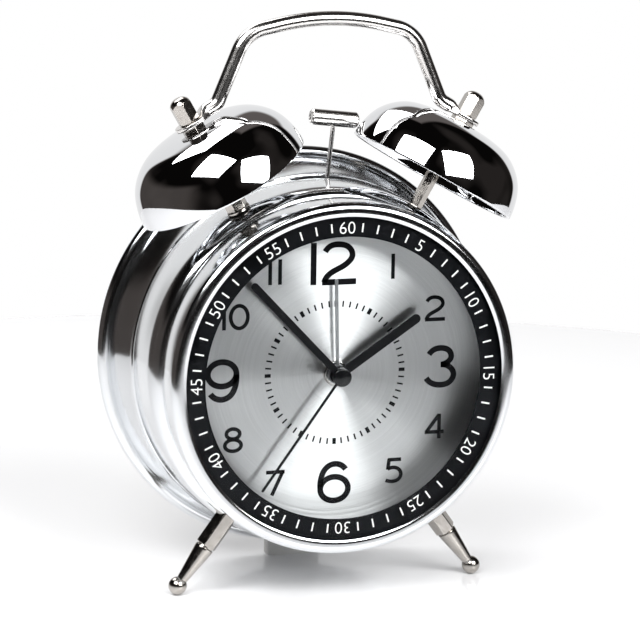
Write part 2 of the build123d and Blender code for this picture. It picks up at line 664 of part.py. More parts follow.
with BuildPart() as rotor:
    extrude(toothed(10, 0.2, SECOND_WHEEL_Y + 1.0, z=ROTOR_Z), amount=-0.8)
    extrude(disc(3.0, STATOR_Y - 0.1, z=ROTOR_Z), amount=STATOR_Y - 0.1 - (STATOR_Y + 0.9))
    extrude(disc(0.5, SECOND_WHEEL_Y, z=ROTOR_Z), amount=SECOND_WHEEL_Y - 13.4)
    extrude(disc(0.4, 13.4, z=ROTOR_Z), amount=13.4 - 14.8)
save(rotor, "rotor")

with BuildPart() as stator:
    with BuildSketch(facing(STATOR_Y)):
        with Locations((0, ROTOR_Z)):
            Rectangle(26, 9.0)
            Circle(3.4, mode=Mode.SUBTRACT)
        with Locations((-11.5, 18.0), (11.5, 18.0)):
            Rectangle(3.0, 11.0)
        with Locations((0, COIL_Z)):
            Rectangle(26, 2.0)
    extrude(amount=-0.8)
save(stator, "stator")

with BuildPart() as motor_coil:
    with BuildSketch(Plane((-9.6, DIAL_Y + STATOR_Y + 0.4, DIAL_Z + COIL_Z), z_dir=(1, 0, 0))):
        Circle(2.7)
    extrude(amount=19.2)
    with BuildSketch(facing(STATOR_Y - 0.03, z=COIL_Z)):
        Rectangle(30, 2.06)
    extrude(amount=-0.86, mode=Mode.SUBTRACT)
save(motor_coil, "motor_coil")

with BuildPart() as circuit_board:
    with BuildSketch(facing(11.0, z=-17.0)):
        Rectangle(26, 14)
    extrude(amount=-1.0)
    with BuildSketch(facing(11.0, z=-17.0)):
        Circle(3.5)
        with Locations((9, 2), (9, -3), (-9, 0)):
            Rectangle(3.0, 2.0)
    extrude(amount=0.9)
    for x in (-10.0, 10.0):
        extrude(disc(1.2, MOVEMENT_FRONT_Y + PLATE, x=x, z=-21.0), amount=MOVEMENT_FRONT_Y + PLATE - 11.0)
save(circuit_board, "circuit_board")

# ---------------------------------------------------------------- setting knobs
for x, name in ((-SET_OFFSET, "time_set_knob"), (SET_OFFSET, "alarm_set_knob")):
    with BuildPart() as knob:
        with BuildSketch(facing(COVER_BACK_Y + 1.0, x=x)):
            Circle(7.4)
            with PolarLocations(7.6, 24):
                Circle(0.45, mode=Mode.SUBTRACT)
        extrude(amount=COVER_BACK_Y + 1.0 - KNOB_BACK_Y)
        with BuildSketch(facing(COVER_BACK_Y + 0.5, x=x)):
            Circle(SHAFT_R)
        extrude(amount=COVER_BACK_Y + 0.5 - KNOB_BACK_Y + 2, mode=Mode.SUBTRACT)
        chamfer(knob.edges().filter_by(GeomType.CIRCLE).group_by(Axis.Y)[-1], 0.3)
    save(knob, name)

# ---------------------------------------------------------------- hands
ALARM_HAND_Y = -2.7
HOUR_HAND_Y = -3.9
MINUTE_HAND_Y = -5.1
SECOND_HAND_Y = -6.3


def hand_plane(depth, degrees):
    """Plane of a hand: second coordinate runs along the hand."""
    turn = radians(degrees)
    return Plane((0, DIAL_Y + depth, DIAL_Z), x_dir=(cos(turn), 0, -sin(turn)), z_dir=(0, -1, 0))


def bar_hand(depth, degrees, width, reach, boss, bore):
    """Outline of a straight hand with a round tip and a round boss."""
    with BuildSketch(hand_plane(depth, degrees)) as outline:
        with Locations((0, (reach - width / 2) / 2)):
            Rectangle(width, reach - width / 2)
        with Locations((0, reach - width / 2)):
            Circle(width / 2)
        Circle(boss)
        Circle(bore, mode=Mode.SUBTRACT)
    return outline.sketch


with BuildPart() as alarm_hand:
    extrude(bar_hand(ALARM_HAND_Y, ALARM_ANGLE, 1.0, 27.4, 2.9, ALARM_PIPE[0]), amount=-0.4)
save(alarm_hand, "alarm_hand")

with BuildPart() as hour_hand:
    extrude(bar_hand(HOUR_HAND_Y, HOUR_ANGLE, 2.7, 28.6, 2.6, HOUR_PIPE[0]), amount=-0.4)
save(hour_hand, "hour_hand")

with BuildPart() as minute_hand:
    extrude(bar_hand(MINUTE_HAND_Y, MINUTE_ANGLE, 2.1, 37.6, 2.3, MINUTE_PIPE[0]), amount=-0.4)
save(minute_hand, "minute_hand")

with BuildPart() as second_hand:
    extrude(bar_hand(SECOND_HAND_Y, SECOND_ANGLE, 0.8, 39.3, 1.4, SECOND_ARBOR_R), amount=-0.3)
save(second_hand, "second_hand")

with BuildPart() as hand_cap:
    extrude(disc(2.7, -7.5), amount=-1.2)
    fillet(hand_cap.edges().group_by(Axis.Y)[0], 0.5)
    extrude(disc(SECOND_ARBOR_R, -6.4), amount=-1.0, mode=Mode.SUBTRACT)
save(hand_cap, "hand_cap")

# ---------------------------------------------------------------- alarm hammer
def hammer_plane(depth=HAMMER_Y):
    """Plane of the hammer's swing: origin on its pivot, second coordinate up the rod."""
    lean = radians(HAMMER_LEAN)
    pivot = (0, DIAL_Y + depth, DIAL_Z + HAMMER_PIVOT_Z)
    return Plane(pivot, x_dir=(cos(lean), 0, -sin(lean)), z_dir=(0, -1, 0))


hammer = hammer_plane()
rod_direction = hammer.y_dir
PIN_R = 1.0
YOKE_THICK = 3.0
ROD_FROM = 5.0
with BuildPart() as hammer_rod:
    foot = hammer.origin + rod_direction * ROD_FROM
    with BuildSketch(Plane(foot, z_dir=rod_direction)):
        Circle(HAMMER_ROD_R)
    extrude(amount=HAMMER_REACH + 0.6 - ROD_FROM)
save(hammer_rod, "hammer_rod")

HEAD_HALF = HAMMER_HEAD_LENGTH / 2
HEAD_TOP = HAMMER_REACH + HAMMER_HEAD_R
with BuildPart() as hammer_head:
    with BuildSketch(hammer):
        with BuildLine():
            Polyline((-HEAD_HALF, HAMMER_REACH), (-HEAD_HALF, HEAD_TOP - 0.6), (0.6 - HEAD_HALF, HEAD_TOP),
                     (HEAD_HALF - 0.6, HEAD_TOP), (HEAD_HALF, HEAD_TOP - 0.6), (HEAD_HALF, HAMMER_REACH),
                     (-HEAD_HALF, HAMMER_REACH))
        make_face()
    revolve(axis=Axis(hammer.origin + rod_direction * HAMMER_REACH, hammer.x_dir))
    with BuildSketch(Plane(foot, z_dir=rod_direction)):
        Circle(HAMMER_ROD_R)
    extrude(amount=HAMMER_REACH + 0.6 - ROD_FROM, mode=Mode.SUBTRACT)
save(hammer_head, "hammer_head")

with BuildPart() as hammer_yoke:
    with BuildSketch(hammer_plane(HAMMER_Y - YOKE_THICK / 2)):
        Rectangle(4.6, 17.0)
        Circle(3.4)
        Circle(PIN_R + RUN, mode=Mode.SUBTRACT)
    extrude(amount=-YOKE_THICK)
    with BuildSketch(Plane(foot, z_dir=rod_direction)):
        Circle(HAMMER_ROD_R)
    extrude(amount=10, mode=Mode.SUBTRACT)
save(hammer_yoke, "hammer_yoke")

with BuildPart() as hammer_magnet:
    with BuildSketch(hammer_plane(HAMMER_Y - YOKE_THICK / 2)):
        with Locations((0, -9.75)):
            Rectangle(6.0, 2.5)
    extrude(amount=-YOKE_THICK)
save(hammer_magnet, "hammer_magnet")

PLATE_BACK_Y = MOVEMENT_BACK_Y + PLATE
BRACKET_BACK_Y = PLATE_BACK_Y + 1.0
with BuildPart() as hammer_bracket:
    with BuildSketch(facing(PLATE_BACK_Y)):
        with Locations((0, 17.0)):
            RectangleRounded(23.0, 22.0, 2.0)
    extrude(amount=-1.0)
    with BuildSketch(facing(BRACKET_BACK_Y, z=HAMMER_PIVOT_Z)):
        Circle(PIN_R)
    extrude(amount=BRACKET_BACK_Y - 22.6)
    with BuildSketch(facing(BRACKET_BACK_Y, z=HAMMER_PIVOT_Z)):
        Circle(2.4)
    extrude(amount=BRACKET_BACK_Y - (HAMMER_Y - YOKE_THICK / 2 - 0.3))
save(hammer_bracket, "hammer_bracket")

with BuildPart() as pivot_clip:
    with BuildSketch(facing(HAMMER_Y + YOKE_THICK / 2 + 0.3, z=HAMMER_PIVOT_Z)):
        Circle(2.2)
        Circle(PIN_R, mode=Mode.SUBTRACT)
    extrude(amount=-0.6)
save(pivot_clip, "pivot_clip")

BELL_COIL_Z = 7.0
with BuildPart() as coil_core:
    with BuildSketch(Plane((-9.5, DIAL_Y + HAMMER_Y, DIAL_Z + BELL_COIL_Z), z_dir=(1, 0, 0))):
        Circle(1.5)
    extrude(amount=19.0)
    for side in (-1, 1):
        with BuildSketch(facing(BRACKET_BACK_Y, x=side * 8.5, z=11.5)):
            Rectangle(2.0, 12.0)
        extrude(amount=BRACKET_BACK_Y - 21.8)
save(coil_core, "coil_core")

with BuildPart() as bell_coil:
    with BuildSketch(Plane((-7.2, DIAL_Y + HAMMER_Y, DIAL_Z + BELL_COIL_Z), z_dir=(1, 0, 0))):
        Circle(3.2)
        Circle(1.5 + FIT, mode=Mode.SUBTRACT)
    extrude(amount=14.4)
save(bell_coil, "bell_coil")
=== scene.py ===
"""Looks of a chromed twin-bell alarm clock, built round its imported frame.

Sizes are written in millimetres and become metres once, when a piece is finished. X is the clock's
width, Y runs from the dial to the back and Z is up. Depths are counted backwards from the dial's face.
"""

import json
import logging
from dataclasses import dataclass
from enum import Enum
from math import atan2, cos, hypot, pi, radians, sin, tan
from typing import Any, ClassVar, Iterable, Sequence

import bmesh
import bpy
import numpy as np
from mathutils import Matrix, Vector


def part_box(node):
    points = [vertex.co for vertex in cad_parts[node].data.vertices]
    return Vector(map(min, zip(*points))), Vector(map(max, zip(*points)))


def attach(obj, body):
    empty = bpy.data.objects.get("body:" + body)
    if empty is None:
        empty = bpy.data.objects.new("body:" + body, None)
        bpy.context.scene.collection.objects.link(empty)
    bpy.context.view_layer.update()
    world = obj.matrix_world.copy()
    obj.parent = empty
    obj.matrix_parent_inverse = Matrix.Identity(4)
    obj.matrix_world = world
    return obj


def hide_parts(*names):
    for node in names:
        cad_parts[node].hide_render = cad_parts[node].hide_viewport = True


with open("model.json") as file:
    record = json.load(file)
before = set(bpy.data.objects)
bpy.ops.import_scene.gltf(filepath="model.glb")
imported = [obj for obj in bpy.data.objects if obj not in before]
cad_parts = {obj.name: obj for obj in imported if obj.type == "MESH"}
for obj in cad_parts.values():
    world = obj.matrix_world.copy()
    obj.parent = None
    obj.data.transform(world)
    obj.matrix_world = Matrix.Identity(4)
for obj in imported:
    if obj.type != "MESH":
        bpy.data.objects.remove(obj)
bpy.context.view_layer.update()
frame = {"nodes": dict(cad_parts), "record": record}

log = logging.getLogger("alarm_clock")

MM = 0.001
CASE = "clock_case"
Outline = list[tuple[float, float]]

_low, _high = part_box("dial_plate")
DIAL = Vector(((_low.x + _high.x) / 2, _low.y, (_low.z + _high.z) / 2)) / MM

BELL_LEAN = 29.7
BELL_DEPTH = 8.8
LEG_LEAN = 143.9
LEG_DEPTH = 5.3
SIDES = ((-1, "left"), (1, "right"))
SLOTS = {row["node"]: row["material_slot"] for row in frame["record"]["subparts"]}

# A wave texture repeats this often in a metre when its scale is 1.
WAVES_PER_METRE = 3.18


# ---------------------------------------------------------------------------- nodes and colours
def linear(code: str) -> tuple[float, float, float, float]:
    """Turn an sRGB hex colour to linear light.

    Args:
        code: six hex digits, such as "C8CACC".

    Returns:
        Linear red, green and blue with an alpha of 1.
    """
    channels = []
    for start in (0, 2, 4):
        value = int(code[start:start + 2], 16) / 255
        channels.append(value / 12.92 if value <= 0.04045 else ((value + 0.055) / 1.055) ** 2.4)
    return (channels[0], channels[1], channels[2], 1.0)


def add(tree: bpy.types.NodeTree, kind: str, inputs: dict[Any, Any] | None = None,
        **settings: Any) -> bpy.types.Node:
    """Add one node.

    Args:
        tree: the node tree it goes in.
        kind: Blender's type name for the node.
        inputs: a value or an output socket for each named or numbered input.
        **settings: the node's own properties.

    Returns:
        The new node.
    """
    node = tree.nodes.new(kind)
    for name, value in settings.items():
        setattr(node, name, value)
    for key, value in (inputs or {}).items():
        if isinstance(value, bpy.types.NodeSocket):
            tree.links.new(value, node.inputs[key])
        else:
            node.inputs[key].default_value = value
    return node


def blank_material(name: str) -> tuple[bpy.types.Material, bpy.types.NodeTree]:
    """Make a material with an empty node tree.

    Args:
        name: the material's name.

    Returns:
        The material and its tree.
    """
    material = bpy.data.materials.new(name)
    material.use_nodes = True
    material.node_tree.nodes.clear()
    return material, material.node_tree


# ---------------------------------------------------------------------------- finishes
class Grain(Enum):
    """Which way the fine relief of a surface runs."""

    EVEN = "even"
    RINGS = "rings round the dial's axis"
    TURNS = "turns of wire side by side along X"


@dataclass(frozen=True)
class Finish:
    """A solid surface with mottled colour and gloss over a fine relief.

    Sizes are in millimetres. light and dark are the ends of the colour's mottling, gloss the lowest and
    highest roughness, patch the size of a mottled patch, pitch the spacing of the relief and depth its
    height.
    """

    name: str
    light: str
    dark: str
    metallic: float
    gloss: tuple[float, float]
    patch: float
    pitch: float
    depth: float
    ior: float = 1.5
    coat: float = 0.0
    grain: Grain = Grain.EVEN

    def build(self) -> bpy.types.Material:
        """Make the material."""
        material, tree = blank_material(self.name)
        where = add(tree, "ShaderNodeTexCoord").outputs["Object"]
        mottle = add(tree, "ShaderNodeTexNoise",
                     {"Vector": where, "Scale": 1 / (self.patch * MM), "Detail": 4.0, "Roughness": 0.6})
        colour = add(tree, "ShaderNodeMix", {0: mottle.outputs["Fac"], 6: linear(self.dark),
                                             7: linear(self.light)}, data_type="RGBA")
        rough = add(tree, "ShaderNodeMapRange",
                    {"Value": mottle.outputs["Fac"], "From Min": 0.3, "From Max": 0.7,
                     "To Min": self.gloss[0], "To Max": self.gloss[1]})
        if self.grain is Grain.TURNS:
            relief = add(tree, "ShaderNodeTexWave",
                         {"Vector": where, "Scale": 1 / (self.pitch * MM * WAVES_PER_METRE)},
                         bands_direction="X")
        elif self.grain is Grain.RINGS:
            centred = add(tree, "ShaderNodeMapping", {"Vector": where, "Location": -DIAL * MM})
            relief = add(tree, "ShaderNodeTexWave",
                         {"Vector": centred.outputs["Vector"], "Scale": 1 / (self.pitch * MM * WAVES_PER_METRE),
                          "Distortion": 1.5}, wave_type="RINGS", rings_direction="Y")
        else:
            relief = add(tree, "ShaderNodeTexNoise",
                         {"Vector": where, "Scale": 1 / (self.pitch * MM), "Detail": 2.0})
        bump = add(tree, "ShaderNodeBump", {"Height": relief.outputs["Fac"], "Distance": self.depth * MM,
                                            "Strength": 1.0})
        shader = add(tree, "ShaderNodeBsdfPrincipled",
                     {"Base Color": colour.outputs[2], "Metallic": self.metallic, "IOR": self.ior,
                      "Roughness": rough.outputs["Result"], "Coat Weight": self.coat,
                      "Coat Roughness": 0.08, "Normal": bump.outputs["Normal"]})
        add(tree, "ShaderNodeOutputMaterial", {"Surface": shader.outputs["BSDF"]})
        return material


@dataclass(frozen=True)
class SpunAluminium:
    """Aluminium sheet brushed in circles: its highlight fans out from the centre in two bright wedges."""

    name: str = "aluminium circular-brushed and lacquered"
    colour: str = "D9D9DA"
    line: float = 0.35
    roughness: float = 0.32
    stretch: float = 0.97

    def build(self) -> bpy.types.Material:
        """Make the material."""
        material, tree = blank_material(self.name)
        where = add(tree, "ShaderNodeTexCoord").outputs["Object"]
        centred = add(tree, "ShaderNodeMapping", {"Vector": where, "Location": -DIAL * MM}).outputs["Vector"]
        flat = add(tree, "ShaderNodeVectorMath", {0: centred, 1: (1.0, 0.0, 1.0)}, operation="MULTIPLY")
        radius = add(tree, "ShaderNodeVectorMath", {0: flat.outputs[0]}, operation="LENGTH").outputs["Value"]
        way = add(tree, "ShaderNodeVectorMath", {0: flat.outputs[0]}, operation="NORMALIZE")
        # each brush line is long round the dial and short across it
        slow = add(tree, "ShaderNodeVectorMath", {0: way.outputs[0], "Scale": 0.6}, operation="SCALE")
        fast = add(tree, "ShaderNodeMath", {0: radius, 1: 1 / (self.line * MM)}, operation="MULTIPLY")
        fast_vector = add(tree, "ShaderNodeCombineXYZ", {"Y": fast.outputs[0]})
        lines_at = add(tree, "ShaderNodeVectorMath", {0: slow.outputs[0], 1: fast_vector.outputs[0]})
        lines = add(tree, "ShaderNodeTexNoise", {"Vector": lines_at.outputs[0], "Scale": 1.0, "Detail": 5.0,
                                                 "Roughness": 0.7})
        shade = add(tree, "ShaderNodeMapRange",
                    {"Value": lines.outputs["Fac"], "From Min": 0.3, "From Max": 0.7,
                     "To Min": 0.86, "To Max": 1.0})
        colour = add(tree, "ShaderNodeVectorMath",
                     {0: linear(self.colour)[:3], "Scale": shade.outputs["Result"]}, operation="SCALE")
        rough = add(tree, "ShaderNodeMapRange",
                    {"Value": lines.outputs["Fac"], "From Min": 0.3, "From Max": 0.7,
                     "To Min": self.roughness - 0.04, "To Max": self.roughness + 0.05})
        shader = add(tree, "ShaderNodeBsdfPrincipled",
                     {"Base Color": colour.outputs[0], "Metallic": 1.0, "Roughness": rough.outputs["Result"],
                      "Anisotropic": self.stretch, "Tangent": way.outputs[0]})
        add(tree, "ShaderNodeOutputMaterial", {"Surface": shader.outputs["BSDF"]})
        return material


@dataclass(frozen=True)
class ClearGlass:
    """Thin float glass: clear face on, and a mirror for the light that grazes it."""

    name: str = "float glass cut and ground"
    tint: str = "FCFDFD"
    ior: float = 1.13

    def build(self) -> bpy.types.Material:
        """Make the material."""
        material, tree = blank_material(self.name)
        where = add(tree, "ShaderNodeTexCoord").outputs["Object"]
        dust = add(tree, "ShaderNodeTexNoise", {"Vector": where, "Scale": 1 / (9 * MM), "Detail": 6.0})
        haze = add(tree, "ShaderNodeMapRange", {"Value": dust.outputs["Fac"], "From Min": 0.4, "From Max": 0.8,
                                                "To Min": 0.0, "To Max": 0.03})
        clear = add(tree, "ShaderNodeBsdfTransparent", {"Color": linear(self.tint)})
        mirror = add(tree, "ShaderNodeBsdfGlossy",
                     {"Color": (1.0, 1.0, 1.0, 1.0), "Roughness": haze.outputs[0]})
        share = add(tree, "ShaderNodeFresnel", {"IOR": self.ior})
        mix = add(tree, "ShaderNodeMixShader", {"Fac": share.outputs["Fac"], 1: clear.outputs[0],
                                                2: mirror.outputs[0]})
        add(tree, "ShaderNodeOutputMaterial", {"Surface": mix.outputs["Shader"]})
        return material


# Chrome over pressed steel: a mirror that shows the slight waves of the pressing and a few smears.
CHROME_SHEET = Finish("steel pressed, polished and chromed", "E4E6E8", "D8DADC", 1.0, (0.08, 0.14),
                      30, 26, 0.010)
# Chrome over spun and buffed bells: a clean mirror with hardly a wave.
CHROME_BELL = Finish("bell metal spun, buffed and chromed", "E6E7E9", "DCDDDF", 1.0, (0.01, 0.035),
                     22, 30, 0.004)
# Chrome over bent tube: clean, a little less even than the bells.
CHROME_ROD = Finish("steel tube bent and chromed", "DDDBD9", "C9C6C3", 1.0, (0.15, 0.21), 8, 3, 0.001)
# Bright nickel over bar stock: the tool's marks stay under the plating, so it is greyer and duller.
NICKEL = Finish("bar steel turned and nickel plated", "BFBBB6", "9F9A94", 1.0, (0.10, 0.20), 2.2, 0.5, 0.0008)
# Zinc-plated fasteners inside: dull and patchy.
ZINC = Finish("steel stamped and zinc plated", "B9BABD", "94969A", 1.0, (0.28, 0.45), 2.5, 0.5, 0.004)
# Brass bar from the lathe: warm, with fine tool marks.
BRASS = Finish("brass bar turned", "CFAE62", "B08F48", 1.0, (0.18, 0.34), 3, 0.3, 0.004)
# Enamelled copper wire wound in rows: ridges side by side under a clear coat.
COPPER = Finish("copper wire enamelled and wound", "B4683A", "8A4420", 0.9, (0.20, 0.32), 1.5, 0.22, 0.05,
                coat=0.5, grain=Grain.TURNS)
# Sintered magnet: dark, matt and a little grainy.
FERRITE = Finish("ferrite pressed and sintered", "4A4A4D", "353538", 0.0, (0.5, 0.7), 1.2, 0.25, 0.01, 2.0)
# Satin black paint on the hands: smooth, with a soft sheen. Its low IOR keeps it deep black.
HAND_BLACK = Finish("brass sheet painted satin black", "161618", "0E0E10", 0.0, (0.28, 0.38),
                    4, 0.25, 0.0015, 1.2)
# The thin hand is bare aluminium: pale, with a satin sheen.
HAND_SILVER = Finish("aluminium sheet stamped and satin", "B2B3B5", "9C9DA0", 1.0, (0.28, 0.4), 2, 0.2, 0.002)
# The hub cap is painted gloss black, so it shows small highlights.
CAP_BLACK = Finish("brass cap painted gloss black", "161618", "0E0E10", 0.0, (0.10, 0.18),
                   3, 0.3, 0.0008, 1.3, coat=0.4)
# The minute ring is card or tin painted satin black, seen behind the glass.
RING_BLACK = Finish("tin ring painted satin black", "111215", "0B0C0E", 0.0, (0.32, 0.45), 6, 0.3, 0.0015, 1.16)
# Printed scale: matt and even.
INK_WHITE = Finish("white screen ink", "F2F2F0", "E6E6E4", 0.0, (0.45, 0.55), 2, 0.2, 0.001)
# Printed numerals: a low IOR keeps them deep black on the bright dial.
INK_BLACK = Finish("black screen ink", "121214", "0B0B0D", 0.0, (0.32, 0.46), 3, 0.25, 0.001, 1.16)
# Injection-moulded covers: a spark-eroded texture, matt with tiny glints.
ABS_BLACK = Finish("ABS moulded with an eroded texture", "26272A", "1C1D20", 0.0, (0.42, 0.58), 5, 0.35, 0.012)
# Knobs from a polished mould: smooth and shiny.
ABS_GLOSS = Finish("ABS moulded smooth, black", "222326", "191A1C", 0.0, (0.16, 0.28), 4, 0.8, 0.003)
# Switch from a polished mould: white with a soft gloss.
ABS_WHITE = Finish("ABS moulded smooth, white", "E2E1DC", "D5D3CC", 0.0, (0.22, 0.34), 3, 0.8, 0.003)
# Movement case: plain, matt and grey.
ABS_GREY = Finish("ABS moulded, movement grey", "55565A", "45464A", 0.0, (0.4, 0.55), 4, 0.4, 0.01)
# Gears: waxy, a little off white.
ACETAL = Finish("acetal moulded, natural", "EDE9DD", "DFD9C8", 0.0, (0.3, 0.42), 2, 0.5, 0.004)
# Circuit board: green mask with a soft gloss.
BOARD = Finish("glass-fibre board with green mask", "1F6B3C", "154D2B", 0.0, (0.22, 0.36),
               2, 0.6, 0.006, coat=0.3)
# Cell jacket: shrunk film, glossy and slightly metallic.
JACKET = Finish("dry cell in a shrunk film jacket", "3F5F8F", "33507A", 0.2, (0.2, 0.32),
                12, 1.5, 0.01, coat=0.4)
# The rear pad is clear silicone. Its opaque pale colour is painted light: it stands in for the brightly lit floor
# round it showing through.
PALE_PAD_FLOOR_LIGHT = Finish("silicone pad, pale with painted floor light", "DFDFDD", "D2D2CF", 0.0, (0.3, 0.42), 2, 0.5, 0.006, 1.41)

PAINTS: dict[str, Finish | SpunAluminium | ClearGlass] = {
    "chrome_case": CHROME_SHEET, "chrome_bell": CHROME_BELL, "chrome_trim": CHROME_ROD,
    "nickel_turned": NICKEL, "lens_glass": ClearGlass(), "ring_black": RING_BLACK,
    "dial_brushed": SpunAluminium(), "hand_black": HAND_BLACK, "hand_silver": HAND_SILVER,
    "cover_black": ABS_BLACK, "knob_black": ABS_GLOSS, "switch_white": ABS_WHITE,
    "movement_plastic": ABS_GREY, "gear_plastic": ACETAL, "steel_plain": ZINC, "brass_plain": BRASS,
    "copper_wire": COPPER, "board_green": BOARD, "magnet_grey": FERRITE, "cell_jacket": JACKET,
    "foot_rubber": PALE_PAD_FLOOR_LIGHT,
}


# ---------------------------------------------------------------------------- places
def on_dial(depth: float, x: float = 0.0, z: float = 0.0, turn: float = 0.0) -> Matrix:
    """Place with X to the right, Y up and Z towards the viewer.

    Args:
        depth: how far behind the dial's face.
        x: to the right of the dial's centre.
        z: above the dial's centre.
        turn: degrees clockwise.

    Returns:
        The placing matrix, in millimetres.
    """
    upright = Matrix(((1, 0, 0), (0, 0, -1), (0, 1, 0))).to_4x4()
    return Matrix.Translation(DIAL + Vector((x, depth, z))) @ upright @ Matrix.Rotation(-radians(turn), 4, "Z")


def along_arbor(depth: float = 0.0, x: float = 0.0, z: float = 0.0) -> Matrix:
    """Place with Z running backwards, for what is turned round the dial's axis or one parallel to it."""
    back = Matrix(((0, 1, 0), (0, 0, 1), (1, 0, 0))).to_4x4()
    return Matrix.Translation(DIAL + Vector((x, depth, z))) @ back


def outwards(lean: float, depth: float, reach: float) -> Matrix:
    """Place on a line that leans out from the dial's axis.

    Args:
        lean: degrees from upright, clockwise.
        depth: how far behind the dial's face the line stands.
        reach: distance along the line.

    Returns:
        A matrix with Z along the line and X to the back, in millimetres.
    """
    out = Vector((sin(radians(lean)), 0, cos(radians(lean))))
    back = Vector((0, 1, 0))
    turn = Matrix((back, out.cross(back), out)).transposed().to_4x4()
    return Matrix.Translation(DIAL + Vector((0, depth, 0)) + out * reach) @ turn


# ---------------------------------------------------------------------------- outlines
def rounded(corners: Iterable[Sequence[float]], closed: bool = False, steps: int = 5) -> Outline:
    """Round the corners of an outline.

    Args:
        corners: points, each with a third number where its corner is rounded to that radius.
        closed: whether the last point joins the first.
        steps: straight pieces in each rounding.

    Returns:
        The outline's points.
    """
    corners = [tuple(c) for c in corners]
    result: Outline = []
    count = len(corners)
    for index, corner in enumerate(corners):
        here = Vector(corner[:2])
        inner = closed or 0 < index < count - 1
        if len(corner) < 3 or not inner:
            result.append((here.x, here.y))
            continue
        before = (Vector(corners[index - 1][:2]) - here).normalized()
        after = (Vector(corners[(index + 1) % count][:2]) - here).normalized()
        half = before.angle(after) / 2
        reach = corner[2] / tan(half)
        middle = here + (before + after).normalized() * (corner[2] / sin(half))
        first = here + before * reach - middle
        last = here + after * reach - middle
        start = atan2(first.y, first.x)
        sweep = (atan2(last.y, last.x) - start + pi) % (2 * pi) - pi
        for step in range(steps + 1):
            angle = start + sweep * step / steps
            result.append((middle.x + corner[2] * cos(angle), middle.y + corner[2] * sin(angle)))
    return result


def flowing(points: Sequence[Sequence[float]], first: Sequence[float] | None = None,
            last: Sequence[float] | None = None, steps: int = 12) -> Outline:
    """Draw a smooth curve through points, with no jump in its curvature, so that a mirror shows no kink.

    Args:
        points: what the curve passes through.
        first: its direction at the start, or free.
        last: its direction at the end, or free.
        steps: straight pieces between two points.

    Returns:
        The curve's points.
    """
    knots = np.array(points, float)
    gaps = np.hypot(*np.diff(knots, axis=0).T)
    count = len(knots)
    system = np.zeros((count, count))
    right = np.zeros((count, 2))
    for i in range(1, count - 1):
        system[i, i - 1] = gaps[i]
        system[i, i] = 2 * (gaps[i - 1] + gaps[i])
        system[i, i + 1] = gaps[i - 1]
        right[i] = 3 * (gaps[i] * (knots[i] - knots[i - 1]) / gaps[i - 1]
                        + gaps[i - 1] * (knots[i + 1] - knots[i]) / gaps[i])
    for row, beside, ask in ((0, 1, first), (count - 1, count - 2, last)):
        system[row, row] = 1
        if ask is not None:
            right[row] = np.array(ask, float) / hypot(*ask)
        else:
            system[row, beside] = 1
            low, high = min(row, beside), max(row, beside)
            right[row] = 2 * (knots[high] - knots[low]) / gaps[low]
    slopes = np.linalg.solve(system, right)
    result: Outline = []
    for i in range(count - 1):
        for step in range(steps + (i == count - 2)):
            t = step / steps
            point = ((2 * t**3 - 3 * t**2 + 1) * knots[i] + (t**3 - 2 * t**2 + t) * gaps[i] * slopes[i]
                     + (3 * t**2 - 2 * t**3) * knots[i + 1] + (t**3 - t**2) * gaps[i] * slopes[i + 1])
            result.append((float(point[0]), float(point[1])))
    return result


# ---------------------------------------------------------------------------- meshes
def turned(outline: Sequence[Sequence[float]], closed: bool = True, steps: int = 192) -> bmesh.types.BMesh:
    """Spin an outline of (radius, height) a full turn round Z.

    Args:
        outline: the section's points.
        closed: whether the section closes on itself; if not, it starts and ends on the axis.
        steps: faces round the axis.

    Returns:
        The turned shape.
    """
    bm = bmesh.new()
    spots = [bm.verts.new((radius, 0, height)) for radius, height in outline]
    pairs = list(zip(spots, spots[1:] + (spots[:1] if closed else [])))
    edges = [bm.edges.new(pair) for pair in pairs[:len(spots) if closed else len(spots) - 1]]
    bmesh.ops.spin(bm, geom=spots + edges, cent=(0, 0, 0), axis=(0, 0, 1), angle=2 * pi, steps=steps,
                   use_merge=True)
    bmesh.ops.remove_doubles(bm, verts=bm.verts, dist=0.0005)
    bmesh.ops.recalc_face_normals(bm, faces=bm.faces)
    return bm


def prism(across: float, low: float, high: float, sides: int = 6, edge: float = 0.15) -> bmesh.types.BMesh:
    """Make a bar with flat sides along Z and softened edges.

    Args:
        across: distance across its flats.
        low: where it starts.
        high: where it ends.
        sides: how many flats.
        edge: width of the softening.

    Returns:
        The bar.
    """
    bm = bmesh.new()
    bmesh.ops.create_circle(bm, cap_ends=True, segments=sides, radius=across / 2 / cos(pi / sides),
                            matrix=Matrix.Translation((0, 0, low)))
    top = bmesh.ops.extrude_face_region(bm, geom=list(bm.faces))
    raised = [g for g in top["geom"] if isinstance(g, bmesh.types.BMVert)]
    bmesh.ops.translate(bm, vec=(0, 0, high - low), verts=raised)
    bmesh.ops.recalc_face_normals(bm, faces=bm.faces)
    bmesh.ops.bevel(bm, geom=list(bm.edges), offset=edge, offset_type="OFFSET", affect="EDGES", segments=3,
                    profile=0.5, material=-1, clamp_overlap=True)
    return bm


def joined(*shapes: bmesh.types.BMesh) -> bmesh.types.BMesh:
    """Put several shapes in one, and free the others."""
    whole = shapes[0]
    for shape in shapes[1:]:
        mesh = bpy.data.meshes.new("joined")
        shape.to_mesh(mesh)
        shape.free()
        whole.from_mesh(mesh)
        bpy.data.meshes.remove(mesh)
    return whole


def moved(bm: bmesh.types.BMesh, place: Matrix) -> bmesh.types.BMesh:
    """Move a whole shape to a place."""
    bmesh.ops.transform(bm, matrix=place, verts=bm.verts)
    return bm


def evaluated(item: bpy.types.Object) -> bmesh.types.BMesh:
    """Read an object's final mesh, and remove the object."""
    bpy.context.view_layer.update()
    mesh = bpy.data.meshes.new_from_object(item.evaluated_get(bpy.context.evaluated_depsgraph_get()))
    bm = bmesh.new()
    bm.from_mesh(mesh)
    bpy.data.meshes.remove(mesh)
    bpy.data.objects.remove(item)
    return bm


